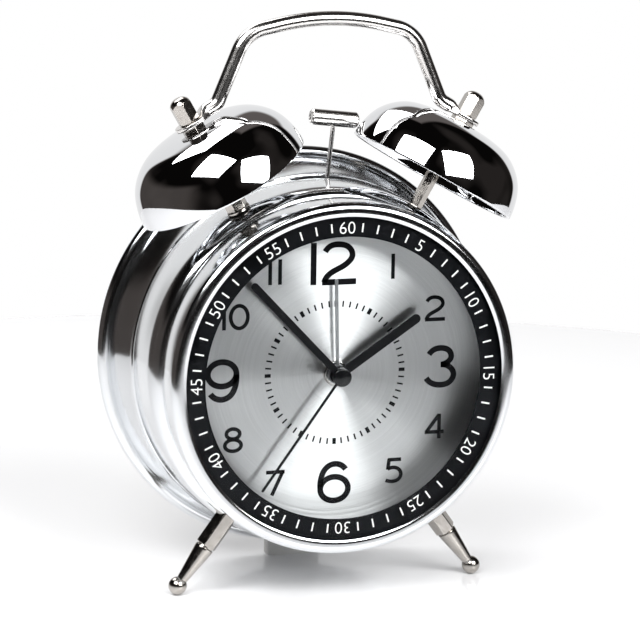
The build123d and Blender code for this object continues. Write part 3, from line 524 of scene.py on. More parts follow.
def linked(name: str, data: Any) -> bpy.types.Object:
    """Put data in the scene as an object."""
    item = bpy.data.objects.new(name, data)
    bpy.context.scene.collection.objects.link(item)
    return item


def carved(body: bmesh.types.BMesh, tool: bmesh.types.BMesh) -> bmesh.types.BMesh:
    """Cut one closed shape out of another."""
    items = []
    for label, shape in (("carved", body), ("tool", tool)):
        mesh = bpy.data.meshes.new(label)
        shape.to_mesh(mesh)
        shape.free()
        items.append(linked(label, mesh))
    cutter = items[0].modifiers.new("cut", "BOOLEAN")
    cutter.operation = "DIFFERENCE"
    cutter.solver = "EXACT"
    cutter.object = items[1]
    result = evaluated(items[0])
    bpy.data.objects.remove(items[1])
    return result


@dataclass
class Workshop:
    """Finishes pieces: gives them the material of their slot and their body, and reports them."""

    def __post_init__(self) -> None:
        """Mix one material for each slot of the record, and those of the printed inks."""
        self.materials = {slot: paint.build() for slot, paint in PAINTS.items()}
        self.white = INK_WHITE.build()
        self.black = INK_BLACK.build()
        self.cap = CAP_BLACK.build()

    def piece(self, bm: bmesh.types.BMesh, name: str, slot: str, place: Matrix = Matrix(), body: str = CASE,
              instead: Sequence[str] = (), material: bpy.types.Material | None = None,
              sharp: float = 32.0, flats: bool = False) -> bpy.types.Object:
        """Finish a new piece.

        Args:
            bm: its shape in millimetres, which is used up.
            name: its name.
            slot: the record's material slot.
            place: where it goes.
            body: the body it moves with.
            instead: CAD nodes that it stands for.
            material: a material other than the slot's own.
            sharp: degrees past which an edge stays crisp.
            flats: whether large faces stay flat and only their softened edges turn.

        Returns:
            The new object.
        """
        bmesh.ops.transform(bm, matrix=Matrix.Scale(MM, 4) @ place, verts=bm.verts)
        mesh = bpy.data.meshes.new(name)
        bm.to_mesh(mesh)
        bm.free()
        mesh.shade_smooth()
        mesh.set_sharp_from_angle(angle=radians(sharp))
        item = linked(name, mesh)
        mesh.materials.append(material or self.materials[slot])
        if flats:
            item.modifiers.new("flat faces", "WEIGHTED_NORMAL").keep_sharp = True
        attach(item, body)
        if instead:
            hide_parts(*instead)
        log.info("%s: %d faces, moves with %s", name, len(mesh.polygons), body)
        return item

    def refined(self, node: str, edge: float = 0.0, body: str = CASE,
                material: bpy.types.Material | None = None) -> bpy.types.Object:
        """Give a CAD node whole faces, smooth rounds and softened edges, in a piece that stands for it.

        Args:
            node: the CAD node.
            edge: width of the softening in millimetres, or 0 for none.
            body: the body it moves with.
            material: a material other than the slot's own.

        Returns:
            The new object.
        """
        bm = bmesh.new()
        bm.from_mesh(frame["nodes"][node].data)
        bmesh.ops.remove_doubles(bm, verts=bm.verts, dist=0.002 * MM)
        bmesh.ops.dissolve_limit(bm, angle_limit=radians(0.5), verts=bm.verts, edges=bm.edges)
        if edge:
            crisp = [e for e in bm.edges if e.is_manifold and e.calc_face_angle() > radians(40)]
            bmesh.ops.bevel(bm, geom=crisp, offset=edge * MM, offset_type="OFFSET", affect="EDGES", segments=2,
                            profile=0.5, material=-1, clamp_overlap=True)
        moved(bm, Matrix.Scale(1 / MM, 4))
        return self.piece(bm, f"{node}_finished", SLOTS[node], body=body, instead=(node,), material=material,
                          flats=True)

    def dress(self, nodes: Iterable[str]) -> None:
        """Give CAD nodes that stay as they are the material of their slot.

        Args:
            nodes: the nodes' names.
        """
        for node in nodes:
            item = frame["nodes"][node]
            if not item.material_slots:
                item.data.materials.append(None)
            for place in item.material_slots:
                place.material = self.materials[SLOTS[node]]
            log.info("%s: dressed as %s", node, SLOTS[node])


# ---------------------------------------------------------------------------- case
@dataclass
class Case:
    """The pressed case with its groove and rolled rear rim, the crimped bezel and the glass."""

    neck: float = 48.3
    rim_depth: float = 41.0
    rim_radius: float = 57.4
    bead: float = 2.1
    bezel: float = 50.2
    bezel_front: float = -11.2
    bezel_back: float = 1.4
    lip: float = 46.2
    glass_front: float = -10.5
    slot_length: float = 16.0
    slot_width: float = 3.2
    slot_depth: float = 19.8

    def outside(self) -> Outline:
        """Draw the case's outer face from the neck to the rear rim, as (radius, depth)."""
        neck = rounded([(self.neck, 0.6), (self.neck, 2.4, 0.35), (49.3, 2.4)])
        front = flowing([(49.3, 2.4), (51.1, 3.3), (52.15, 5.4), (52.65, 9.5), (52.95, 16.0), (53.1, 23.2)],
                        first=(1.0, 0.15), last=(0.02, 1.0))
        groove = rounded([(53.1, 23.2), (53.15, 23.5, 0.12), (52.55, 23.75, 0.12), (52.65, 24.1, 0.12),
                          (53.3, 24.35, 0.12), (53.35, 24.8)], steps=3)
        rear = flowing([(53.35, 24.8), (54.3, 31.0), (55.6, 36.5), (56.5, 39.15)], first=(0.08, 1.0),
                       last=(0.42, 1.0))
        return neck + front[1:] + groove[1:] + rear[1:]

    def build(self, shop: Workshop) -> None:
        """Make the shell, the bezel and the glass.

        Args:
            shop: finishes the pieces.
        """
        outside = self.outside()
        start = atan2(outside[-1][1] - self.rim_depth, outside[-1][0] - self.rim_radius)
        bead = []
        for step in range(1, 37):
            angle = start + radians(285) * step / 36
            bead.append((self.rim_radius + self.bead * cos(angle), self.rim_depth + self.bead * sin(angle)))
        inside = [(55.6, 39.6), (53.4, 31.2), (52.0, 24.0), (51.8, 20.0), (50.0, 9.2), (47.5, 3.2), (47.5, 1.4),
                  (42.0, 1.4), (42.0, 0.6)]
        shell = turned(outside + bead + inside, steps=256)
        shell = carved(shell, self.slot_tool())
        shop.piece(shell, "case_drum", "chrome_case", along_arbor(), instead=("case_shell",), sharp=40)
        section = rounded([(self.lip, self.glass_front), (self.lip, self.glass_front - 0.35, 0.15)], steps=3)
        section += flowing([(self.lip + 0.05, self.glass_front - 0.38), (47.6, self.bezel_front + 0.02),
                            (48.7, self.bezel_front + 0.08), (49.65, -10.55), (self.bezel, -9.5)],
                           first=(1.0, -0.55), last=(0.15, 1.0))
        section += rounded([(self.bezel, -9.5), (self.bezel, 0.6, 0.5), (49.6, self.bezel_back, 0.3),
                            (self.neck + 0.1, self.bezel_back, 0.1), (self.neck + 0.1, 0.0),
                            (47.35, 0.0), (47.35, self.glass_front)])[1:]
        shop.piece(turned(section, steps=256), "bezel_ring", "chrome_case", along_arbor(), instead=("bezel",),
                   sharp=40)
        shop.dress(("glass_lens",))
        shop.refined("rear_foot", 0.4)

    def slot_tool(self) -> bmesh.types.BMesh:
        """Make the cutter for the hammer's slot, in the shell's own place."""
        bm = bmesh.new()
        bmesh.ops.create_cube(bm, size=1.0)
        bmesh.ops.scale(bm, vec=(self.slot_length, self.slot_width, 12), verts=bm.verts)
        upright = [e for e in bm.edges if abs(e.verts[0].co.z - e.verts[1].co.z) > 1]
        bmesh.ops.bevel(bm, geom=upright, offset=self.slot_width / 2 - 0.01, offset_type="OFFSET",
                        affect="EDGES", segments=8, profile=0.5, material=-1)
        moved(bm, Matrix.Translation(DIAL + Vector((0, self.slot_depth, 51))))
        return moved(bm, along_arbor().inverted())


# ---------------------------------------------------------------------------- printed marks
# Numerals are drawn with one pen in a box one unit high; each stroke is smooth or straight.
STROKES: dict[str, list[tuple[str, list[tuple[float, float]]]]] = {
    "1": [("straight", [(0.05, 0.0), (0.05, 1.0)])],
    "2": [("smooth", [(0.07, 0.78), (0.22, 0.92), (0.43, 0.945), (0.66, 0.86), (0.74, 0.68), (0.62, 0.50),
                      (0.36, 0.35), (0.13, 0.20), (0.055, 0.055)]),
          ("straight", [(0.0, 0.055), (0.84, 0.055)])],
    "3": [("smooth", [(0.10, 0.80), (0.24, 0.92), (0.42, 0.945), (0.62, 0.86), (0.66, 0.71), (0.56, 0.59),
                      (0.40, 0.545)]),
          ("smooth", [(0.40, 0.545), (0.61, 0.49), (0.73, 0.31), (0.64, 0.12), (0.40, 0.05), (0.18, 0.10),
                      (0.04, 0.23)])],
    "4": [("straight", [(0.60, 0.98), (0.06, 0.27)]), ("straight", [(0.0, 0.27), (0.80, 0.27)]),
          ("straight", [(0.60, 0.0), (0.60, 1.0)])],
    "5": [("straight", [(0.70, 0.94), (0.15, 0.94)]), ("straight", [(0.20, 0.98), (0.14, 0.54)]),
          ("smooth", [(0.14, 0.56), (0.36, 0.62), (0.60, 0.54), (0.70, 0.34), (0.60, 0.13), (0.36, 0.05),
                      (0.06, 0.11)])],
    "6": [("smooth", [(0.68, 0.80), (0.56, 0.91), (0.40, 0.945), (0.20, 0.86), (0.08, 0.64), (0.055, 0.36)]),
          ("round", [(0.40, 0.34), (0.345, 0.29)])],
    "7": [("straight", [(0.02, 0.94), (0.78, 0.94)]), ("straight", [(0.72, 0.98), (0.26, 0.0)])],
    "8": [("round", [(0.38, 0.74), (0.27, 0.20)]), ("round", [(0.38, 0.28), (0.33, 0.23)])],
    "0": [("round", [(0.40, 0.5), (0.345, 0.445)])],
}
STROKES["9"] = [(kind, [(0.80 - x, 1.0 - y) if kind != "round" or n == 0 else (x, y)
                        for n, (x, y) in enumerate(points)]) for kind, points in STROKES["6"]]
WIDTHS = {"1": 0.10, "2": 0.84, "3": 0.78, "4": 0.80, "5": 0.75, "6": 0.80, "7": 0.80, "8": 0.76, "9": 0.80,
          "0": 0.80}


def pen_line(bm: bmesh.types.BMesh, points: Sequence[Sequence[float]], width: float,
             closed: bool = False) -> None:
    """Draw a line of even width in the XY plane.

    Args:
        bm: the mesh it is drawn in.
        points: the line's middle.
        width: how wide it is.
        closed: whether it runs back to its start.
    """
    path = [Vector((x, y, 0.0)) for x, y in points]
    count = len(path)
    normals = []
    for i in range(count):
        before = path[i - 1] if closed or i else path[i]
        after = path[(i + 1) % count] if closed or i < count - 1 else path[i]
        along = (after - before).normalized()
        normals.append(Vector((-along.y, along.x, 0.0)))
    edge = [bm.verts.new(p + n * width / 2) for p, n in zip(path, normals)]
    pairs = list(zip(edge, edge[1:])) + ([(edge[-1], edge[0])] if closed else [])
    lines = [bm.edges.new(pair) for pair in pairs]
    drawn = bmesh.ops.extrude_edge_only(bm, edges=lines)
    far = {g.co.copy().freeze(): g for g in drawn["geom"] if isinstance(g, bmesh.types.BMVert)}
    for start, normal in zip(edge, normals):
        far[start.co.copy().freeze()].co = start.co - normal * width


def numeral(bm: bmesh.types.BMesh, text: str, centre: tuple[float, float], height: float, pen: float,
            gap: float = 0.16) -> None:
    """Draw a number on the dial.

    Args:
        bm: the mesh it is drawn in.
        text: its digits.
        centre: middle of the number.
        height: height of its digits.
        pen: width of its strokes.
        gap: space between digits, as a share of the height.
    """
    total = sum(WIDTHS[d] for d in text) + gap * (len(text) - 1)
    at = -total / 2
    for digit in text:
        for kind, points in STROKES[digit]:
            closed = kind == "round"
            if closed:
                (mx, my), (rx, ry) = points
                turns = [2 * pi * k / 48 for k in range(48)]
                line = [(mx + rx * cos(t), my + ry * sin(t)) for t in turns]
            else:
                line = flowing(points, steps=8) if kind == "smooth" else list(points)
            scaled = [(centre[0] + (at + x) * height, centre[1] + (y - 0.5) * height) for x, y in line]
            pen_line(bm, scaled, pen, closed)
        at += WIDTHS[digit] + gap


def raised(bm: bmesh.types.BMesh, thick: float) -> bmesh.types.BMesh:
    """Turn flat print in the XY plane to closed film that is thick towards +Z."""
    bmesh.ops.recalc_face_normals(bm, faces=bm.faces)
    down = [f for f in bm.faces if f.normal.z < 0]
    bmesh.ops.reverse_faces(bm, faces=down)
    lift = bmesh.ops.extrude_face_region(bm, geom=list(bm.faces))
    top = [g for g in lift["geom"] if isinstance(g, bmesh.types.BMVert)]
    bmesh.ops.translate(bm, vec=(0, 0, thick), verts=top)
    bmesh.ops.recalc_face_normals(bm, faces=bm.faces)
    return bm


def tick(bm: bmesh.types.BMesh, radius: float, degrees: float, length: float, width: float) -> None:
    """Draw a short radial mark.

    Args:
        bm: the mesh it is drawn in.
        radius: distance of its middle from the centre.
        degrees: its direction, clockwise from twelve.
        length: along the radius.
        width: across it.
    """
    turn = Matrix.Rotation(-radians(degrees), 4, "Z") @ Matrix.Translation((0, radius, 0))
    size = Matrix.Diagonal((width, length, 1, 1))
    bmesh.ops.create_grid(bm, x_segments=1, y_segments=1, size=0.5, matrix=turn @ size)


def lettering(text: str, height: float) -> bmesh.types.BMesh:
    """Set a number in the built-in sans face, flat and centred.

    Args:
        text: the digits.
        height: their height.

    Returns:
        The flat faces.
    """
    digit_share = 0.73
    curve = bpy.data.curves.new("number", "FONT")
    curve.body = text
    curve.size = height / digit_share
    curve.align_x = "CENTER"
    curve.resolution_u = 6
    curve.offset = -0.055
    curve.space_character = 1.02
    bm = evaluated(linked("number", curve))
    bmesh.ops.remove_doubles(bm, verts=bm.verts, dist=0.001)
    bmesh.ops.translate(bm, vec=(0, -height / 2, 0), verts=bm.verts)
    return bm


@dataclass
class Dial:
    """The brushed dial with its numerals and inner track, and the black minute ring above it."""

    large: float = 12.0
    small: float = 7.2
    large_pen: float = 1.7
    small_pen: float = 1.08
    gap: float = 0.16
    gap_of_ones: float = 0.30
    ink: float = 0.05
    ink_at: float = -0.002
    track: float = 19.85
    track_length: float = 1.76
    track_mark: float = 0.47
    track_hour: float = 1.03
    ring_depth: float = -9.3
    ring_middle: float = 43.0
    ring_number: float = 3.6
    ring_length: float = 2.5
    ring_mark: float = 0.43
    ring_ink: float = 0.03

    # middle of each numeral, to the right of and above the dial's centre
    spots: ClassVar[dict[str, tuple[float, float]]] = {
        "12": (-0.8, 31.4), "1": (16.7, 29.9), "2": (29.6, 17.3), "3": (31.5, 0.3), "4": (30.1, -17.2),
        "5": (17.9, -29.5), "6": (0.2, -31.9), "7": (-17.3, -31.1), "8": (-29.8, -17.9), "9": (-33.1, -0.8),
        "10": (-29.2, 17.2), "11": (-18.0, 29.5)}

    def build(self, shop: Workshop) -> None:
        """Make the printed marks and dress the plates.

        Args:
            shop: finishes the pieces.
        """
        shop.dress(("dial_plate", "minute_ring", "dial_spacer"))
        numerals = bmesh.new()
        for text, centre in self.spots.items():
            large = text in ("12", "3", "6", "9")
            numeral(numerals, text, centre, self.large if large else self.small,
                    self.large_pen if large else self.small_pen, self.gap_of_ones if text == "11" else self.gap)
        shop.piece(raised(numerals, self.ink), "dial_numerals", "hand_black", on_dial(self.ink_at),
                   material=shop.black)
        track = bmesh.new()
        for minute in range(60):
            tick(track, self.track, 6 * minute, self.track_length,
                 self.track_mark if minute % 5 else self.track_hour)
        shop.piece(raised(track, self.ink), "dial_track", "hand_black", on_dial(self.ink_at),
                   material=shop.black)
        scale = bmesh.new()
        for minute in range(60):
            if minute % 5:
                tick(scale, self.ring_middle, 6 * minute, self.ring_length, self.ring_mark)
        for minute in range(5, 61, 5):
            turn = Matrix.Rotation(-radians(6 * minute), 4, "Z") @ Matrix.Translation((0, self.ring_middle, 0))
            scale = joined(scale, moved(lettering(str(minute), self.ring_number), turn))
        shop.piece(raised(scale, self.ring_ink), "ring_scale", "ring_black", on_dial(self.ring_depth + 0.01),
                   material=shop.white)
        shop.refined("dial_nut", 0.08)


# ---------------------------------------------------------------------------- hands
@dataclass
class Hands:
    """Four stamped hands and the domed cap over their arbor."""

    cap: float = 2.7
    cap_height: float = 1.2
    cap_round: float = 0.55
    cap_depth: float = -7.5

    def build(self, shop: Workshop) -> None:
        """Make the hands and the cap, each on its own arbor.

        Args:
            shop: finishes the pieces.
        """
        for node, body in (("alarm_hand", "alarm_train"), ("hour_hand", "hour_train"),
                           ("minute_hand", "minute_train"), ("second_hand", "second_train")):
            shop.refined(node, 0.09, body)
        section = rounded([(0.0, 0.0), (self.cap, 0.0, self.cap_round), (self.cap, self.cap_height),
                           (0.0, self.cap_height)])
        shop.piece(turned(section, closed=False, steps=64), "hub_cap", "hand_black",
                   along_arbor(self.cap_depth), body="second_train", instead=("hand_cap",), material=shop.cap)


# ---------------------------------------------------------------------------- bells
@dataclass
class Bell:
    """One bell on its hexagonal post, with the nuts that hold it."""

    side: int
    name: str
    rim_at: float = 62.0
    radius: float = 25.4
    rise: float = 17.4
    wall: float = 0.9
    drum: float = 52.75
    washer: float = 3.4

    def build(self, shop: Workshop) -> None:
        """Make the bell, its post and its nuts.

        Args:
            shop: finishes the pieces.
        """
        lean = self.side * BELL_LEAN
        dome = flowing([(self.radius, 0.25), (24.55, 5.5), (23.0, 9.35), (20.3, 12.7), (16.6, 15.3), (12.6, 16.6),
                        (4.5, self.rise)], first=(-0.04, 1.0), last=(-1.0, 0.0))
        hollow = flowing([(4.5, self.rise - self.wall), (12.3, 15.65), (16.1, 14.4), (19.6, 12.0), (22.15, 8.85),
                          (23.62, 5.3), (self.radius - self.wall, 0.25)], first=(1.0, 0.0), last=(0.04, -1.0))
        rim_middle = self.radius - self.wall / 2
        rim = [(rim_middle - self.wall / 2 * cos(t), 0.25 - 0.25 * sin(t)) for t in
               (pi * k / 8 for k in range(1, 8))]
        top = [(1.4, self.rise), (1.4, self.rise - self.wall)]
        section = dome + top + hollow + rim
        shop.piece(turned(section, steps=256), f"{self.name}_bell_dome", "chrome_bell",
                   outwards(lean, BELL_DEPTH, self.rim_at), instead=(f"{self.name}_bell",), sharp=45)
        shop.refined(f"{self.name}_bell_post", 0.12)
        if self.side < 0:
            self.lock_nut(shop)
        shop.refined(f"{self.name}_acorn_nut", 0.14)

    def lock_nut(self, shop: Workshop) -> None:
        """Make the washer and nut that lock the post on the drum.

        Args:
            shop: finishes the piece.
        """
        washer = turned(rounded([(1.5, self.drum), (self.washer, self.drum, 0.15),
                                 (self.washer, self.drum + 0.8, 0.25), (1.5, self.drum + 0.8)]), steps=64)
        shape = joined(washer, prism(5.6, self.drum + 0.8, self.drum + 4.0, edge=0.18))
        shop.piece(shape, f"{self.name}_lock_nut", "nickel_turned",
                   outwards(self.side * BELL_LEAN, BELL_DEPTH, 0.0), flats=True)


@dataclass
class Handle:
    """The carrying handle: a bent tube whose ends are pressed flat and bolted down with the bells."""

    tube: float = 2.05
    tab_at: float = 80.7
    tab: float = 1.2
    tab_half: float = 3.8
    press_from: float = -6.0
    press_to: float = -2.4
    tip: float = 4.6
    crown: tuple[float, float] = (0.0, 100.95)
    shoulder: tuple[float, float] = (24.6, 95.5)
    around: int = 40

    def spot(self, slide: float, reach: float) -> tuple[float, float]:
        """Find a point beside the right post: slide along the tab, reach from the dial's axis."""
        lean = radians(BELL_LEAN)
        return (reach * sin(lean) + slide * cos(lean), reach * cos(lean) - slide * sin(lean))

    def stations(self) -> list[tuple[Vector, float, float, float]]:
        """Lay out the right half's sections from the crown to the tip of the tab.

        Returns:
            For each section its middle, half width, half thickness and squareness.
        """
        tube_at = self.tab_at + self.tube - 0.6
        mid_at = self.tab_at + self.tab / 2
        end = self.spot(self.press_from, tube_at)
        arch = rounded([(-self.shoulder[0], self.shoulder[1]), (*self.crown, 70.0), (*self.shoulder, 10.0),
                        (*self.spot(-9.1, tube_at), 4.0), end], steps=28)
        arch = [p for p in arch if p[0] >= 0 or p is arch[-1]]
        if arch[0][0] > 1e-6:
            arch.insert(0, (0.0, arch[0][1]))
        result = [(Vector(p), self.tube, self.tube, 2.0) for p in arch]
        presses = 10
        for k in range(1, presses + 1):
            share = k / presses
            ease = share * share * (3 - 2 * share)
            slide = self.press_from + (self.press_to - self.press_from) * share
            reach = tube_at + (mid_at - tube_at) * ease
            result.append((Vector(self.spot(slide, reach)), self.tube + (self.tab_half - self.tube) * ease,
                           self.tube + (self.tab / 2 - self.tube) * ease, 2.0 + 6.0 * ease))
        middle = self.tip - self.tab_half
        for k in range(0, 15):
            turn = radians(89) * k / 14
            slide = middle + self.tab_half * sin(turn)
            result.append((Vector(self.spot(slide, mid_at)), self.tab_half * cos(turn), self.tab / 2, 8.0))
        return result

    def build(self, shop: Workshop) -> None:
        """Sweep the right half, mirror it and join the two at the crown.

        Args:
            shop: finishes the piece.
        """
        bm = bmesh.new()
        rows = self.stations()
        bmesh.ops.create_circle(bm, cap_ends=False, segments=self.around, radius=1.0)
        ring = list(bm.verts)
        edges = list(bm.edges)
        self.shape(ring, rows, 0)
        for index in range(1, len(rows)):
            grown = bmesh.ops.extrude_edge_only(bm, edges=edges)
            new = [g for g in grown["geom"] if isinstance(g, bmesh.types.BMVert)]
            order = {v.co.copy().freeze(): n for n, v in enumerate(ring)}
            ring = sorted(new, key=lambda v: order[v.co.copy().freeze()])
            edges = [g for g in grown["geom"] if isinstance(g, bmesh.types.BMEdge)
                     and g.verts[0] in new and g.verts[1] in new]
            self.shape(ring, rows, index)
        bmesh.ops.contextual_create(bm, geom=edges)
        bmesh.ops.mirror(bm, geom=list(bm.verts) + list(bm.edges) + list(bm.faces), axis="X", merge_dist=0.002)
        bmesh.ops.remove_doubles(bm, verts=bm.verts, dist=0.002)
        bmesh.ops.recalc_face_normals(bm, faces=bm.faces)
        place = Matrix.Translation(DIAL + Vector((0, BELL_DEPTH, 0)))
        shop.piece(bm, "handle_arch", "chrome_trim", place, instead=("carry_handle",), sharp=50)
        shop.refined("bell_spacer_nuts", 0.12)

    def shape(self, ring: list[bmesh.types.BMVert], rows: list[tuple[Vector, float, float, float]],
              index: int) -> None:
        """Put one ring of points round its section's middle.

        Args:
            ring: the points, in order round the section.
            rows: all sections.
            index: which section this is.
        """
        middle, wide, thick, square = rows[index]
        before = rows[max(index - 1, 0)][0]
        after = rows[min(index + 1, len(rows) - 1)][0]
        along = Vector((1.0, 0.0)) if index == 0 else (after - before).normalized()
        outside = Vector((-along.y, along.x))
        for n, spot in enumerate(ring):
            turn = 2 * pi * n / len(ring)
            a = wide * abs(cos(turn)) ** (2 / square) * (1 if cos(turn) >= 0 else -1)
            b = thick * abs(sin(turn)) ** (2 / square) * (1 if sin(turn) >= 0 else -1)
            spot.co = (middle.x + outside.x * b, a, middle.y + outside.y * b)


# ---------------------------------------------------------------------------- legs
@dataclass
class Leg:
    """One leg: a hexagonal root, a collar, a taper and a ball."""

    side: int
    name: str
    across: float = 5.6
    root_at: float = 49.5
    shoulder_at: float = 61.3
    ball_at: float = 75.2
    ball: float = 2.65
    seat: float = 2.35
    collar: float = 2.75
    tip: float = 1.55
    taper_to: float = 73.0
    neck: float = 1.5

    def build(self, shop: Workshop) -> None:
        """Make the leg.

        Args:
            shop: finishes the piece.
        """
        start = self.shoulder_at
        ball = []
        low = pi - atan2(self.neck, (self.ball**2 - self.neck**2) ** 0.5)
        for k in range(25):
            turn = low * (1 - k / 24)
            ball.append((self.ball * sin(turn), self.ball_at + self.ball * cos(turn)))
        section = rounded([(0.0, start - 1.0), (self.seat, start - 1.0), (self.seat, start + 0.35, 0.1),
                           (self.collar, start + 0.55, 0.15), (self.collar, start + 1.2, 0.2),
                           (self.tip, self.taper_to)], steps=3)
        section += ball
        turned_part = turned(section, closed=False, steps=96)
        shape = joined(prism(self.across, self.root_at, start, edge=0.22), turned_part)
        shop.piece(shape, f"{self.name}_leg_turned", "nickel_turned",
                   outwards(self.side * LEG_LEAN, LEG_DEPTH, 0.0), instead=(f"{self.name}_leg",), flats=True)


# ---------------------------------------------------------------------------- hammer
@dataclass
class Hammer:
    """The hammer between the bells: a drilled steel head on a wire."""

    lean: float = 6.0
    pivot: float = 24.0
    depth: float = 19.8
    reach: float = 46.1
    head: float = 2.3
    length: float = 14.0
    rod: float = 0.65
    hollow: float = 1.35
    hollow_edge: float = 1.55

    def build(self, shop: Workshop) -> None:
        """Make the head and the rod on the hammer's body.

        Args:
            shop: finishes the pieces.
        """
        lean = radians(self.lean)
        up = Vector((sin(lean), 0, cos(lean)))
        right = Vector((cos(lean), 0, -sin(lean)))
        pivot = DIAL + Vector((0, self.depth, self.pivot))
        half = self.length / 2
        section = rounded([(0.0, -half + 0.25), (self.hollow, -half + 0.25, 0.1), (self.hollow_edge, -half, 0.1),
                           (self.head - 0.45, -half, 0.15), (self.head, 0.55 - half, 0.15),
                           (self.head, half - 0.55, 0.15), (self.head - 0.45, half, 0.15),
                           (self.hollow_edge, half, 0.1), (self.hollow, half - 0.25, 0.1),
                           (0.0, half - 0.25)], steps=3)
        turn = Matrix((Vector((0, 1, 0)), right.cross(Vector((0, 1, 0))), right)).transposed().to_4x4()
        shop.piece(turned(section, closed=False, steps=96), "hammer_striker", "chrome_trim",
                   Matrix.Translation(pivot + up * self.reach) @ turn, body="hammer", instead=("hammer_head",))
        wire = rounded([(0.0, 5.0), (self.rod, 5.0), (self.rod, self.reach - 0.2), (0.0, self.reach - 0.2)])
        stand = Matrix((Vector((0, 1, 0)), up.cross(Vector((0, 1, 0))), up)).transposed().to_4x4()
        shop.piece(turned(wire, closed=False, steps=32), "hammer_wire", "chrome_trim",
                   Matrix.Translation(pivot) @ stand, body="hammer", instead=("hammer_rod",))


# ---------------------------------------------------------------------------- back
@dataclass
class Back:
    """The moulded rear cover with its door, knobs, switch and screws."""

    def build(self, shop: Workshop) -> None:
        """Make the cover's pieces.

        Args:
            shop: finishes the pieces.
        """
        shop.refined("rear_cover", 0.15)
        shop.refined("battery_door", 0.15, "battery_lid")
        shop.refined("time_set_knob", 0.15, "time_setter")
        shop.refined("alarm_set_knob", 0.15, "alarm_setter")
        shop.refined("alarm_switch", 0.15, "alarm_slider")
        shop.refined("cover_screws", 0.1)


INNER_NODES = (
    "post_nuts", "leg_nuts", "cover_pillars", "battery_cells", "battery_contacts", "switch_body", "movement_case",
    "movement_plate", "alarm_wheel", "alarm_set_arbor", "hour_wheel", "cannon_pinion", "minute_wheel",
    "second_wheel", "drive_wheel", "rotor", "stator", "motor_coil", "circuit_board", "hammer_yoke",
    "hammer_magnet", "hammer_bracket", "pivot_clip", "coil_core", "bell_coil",
)


# ---------------------------------------------------------------------------- studio
@dataclass(frozen=True)
class Softbox:
    """A large flat light that the chrome shows as a white window.

    width and height are in metres; across and up are degrees round the clock from the camera's side;
    roll turns it in its own plane; glow is its brightness.
    """

    name: str
    across: float
    up: float
    width: float
    height: float
    roll: float
    glow: float
    distance: float = 1.1


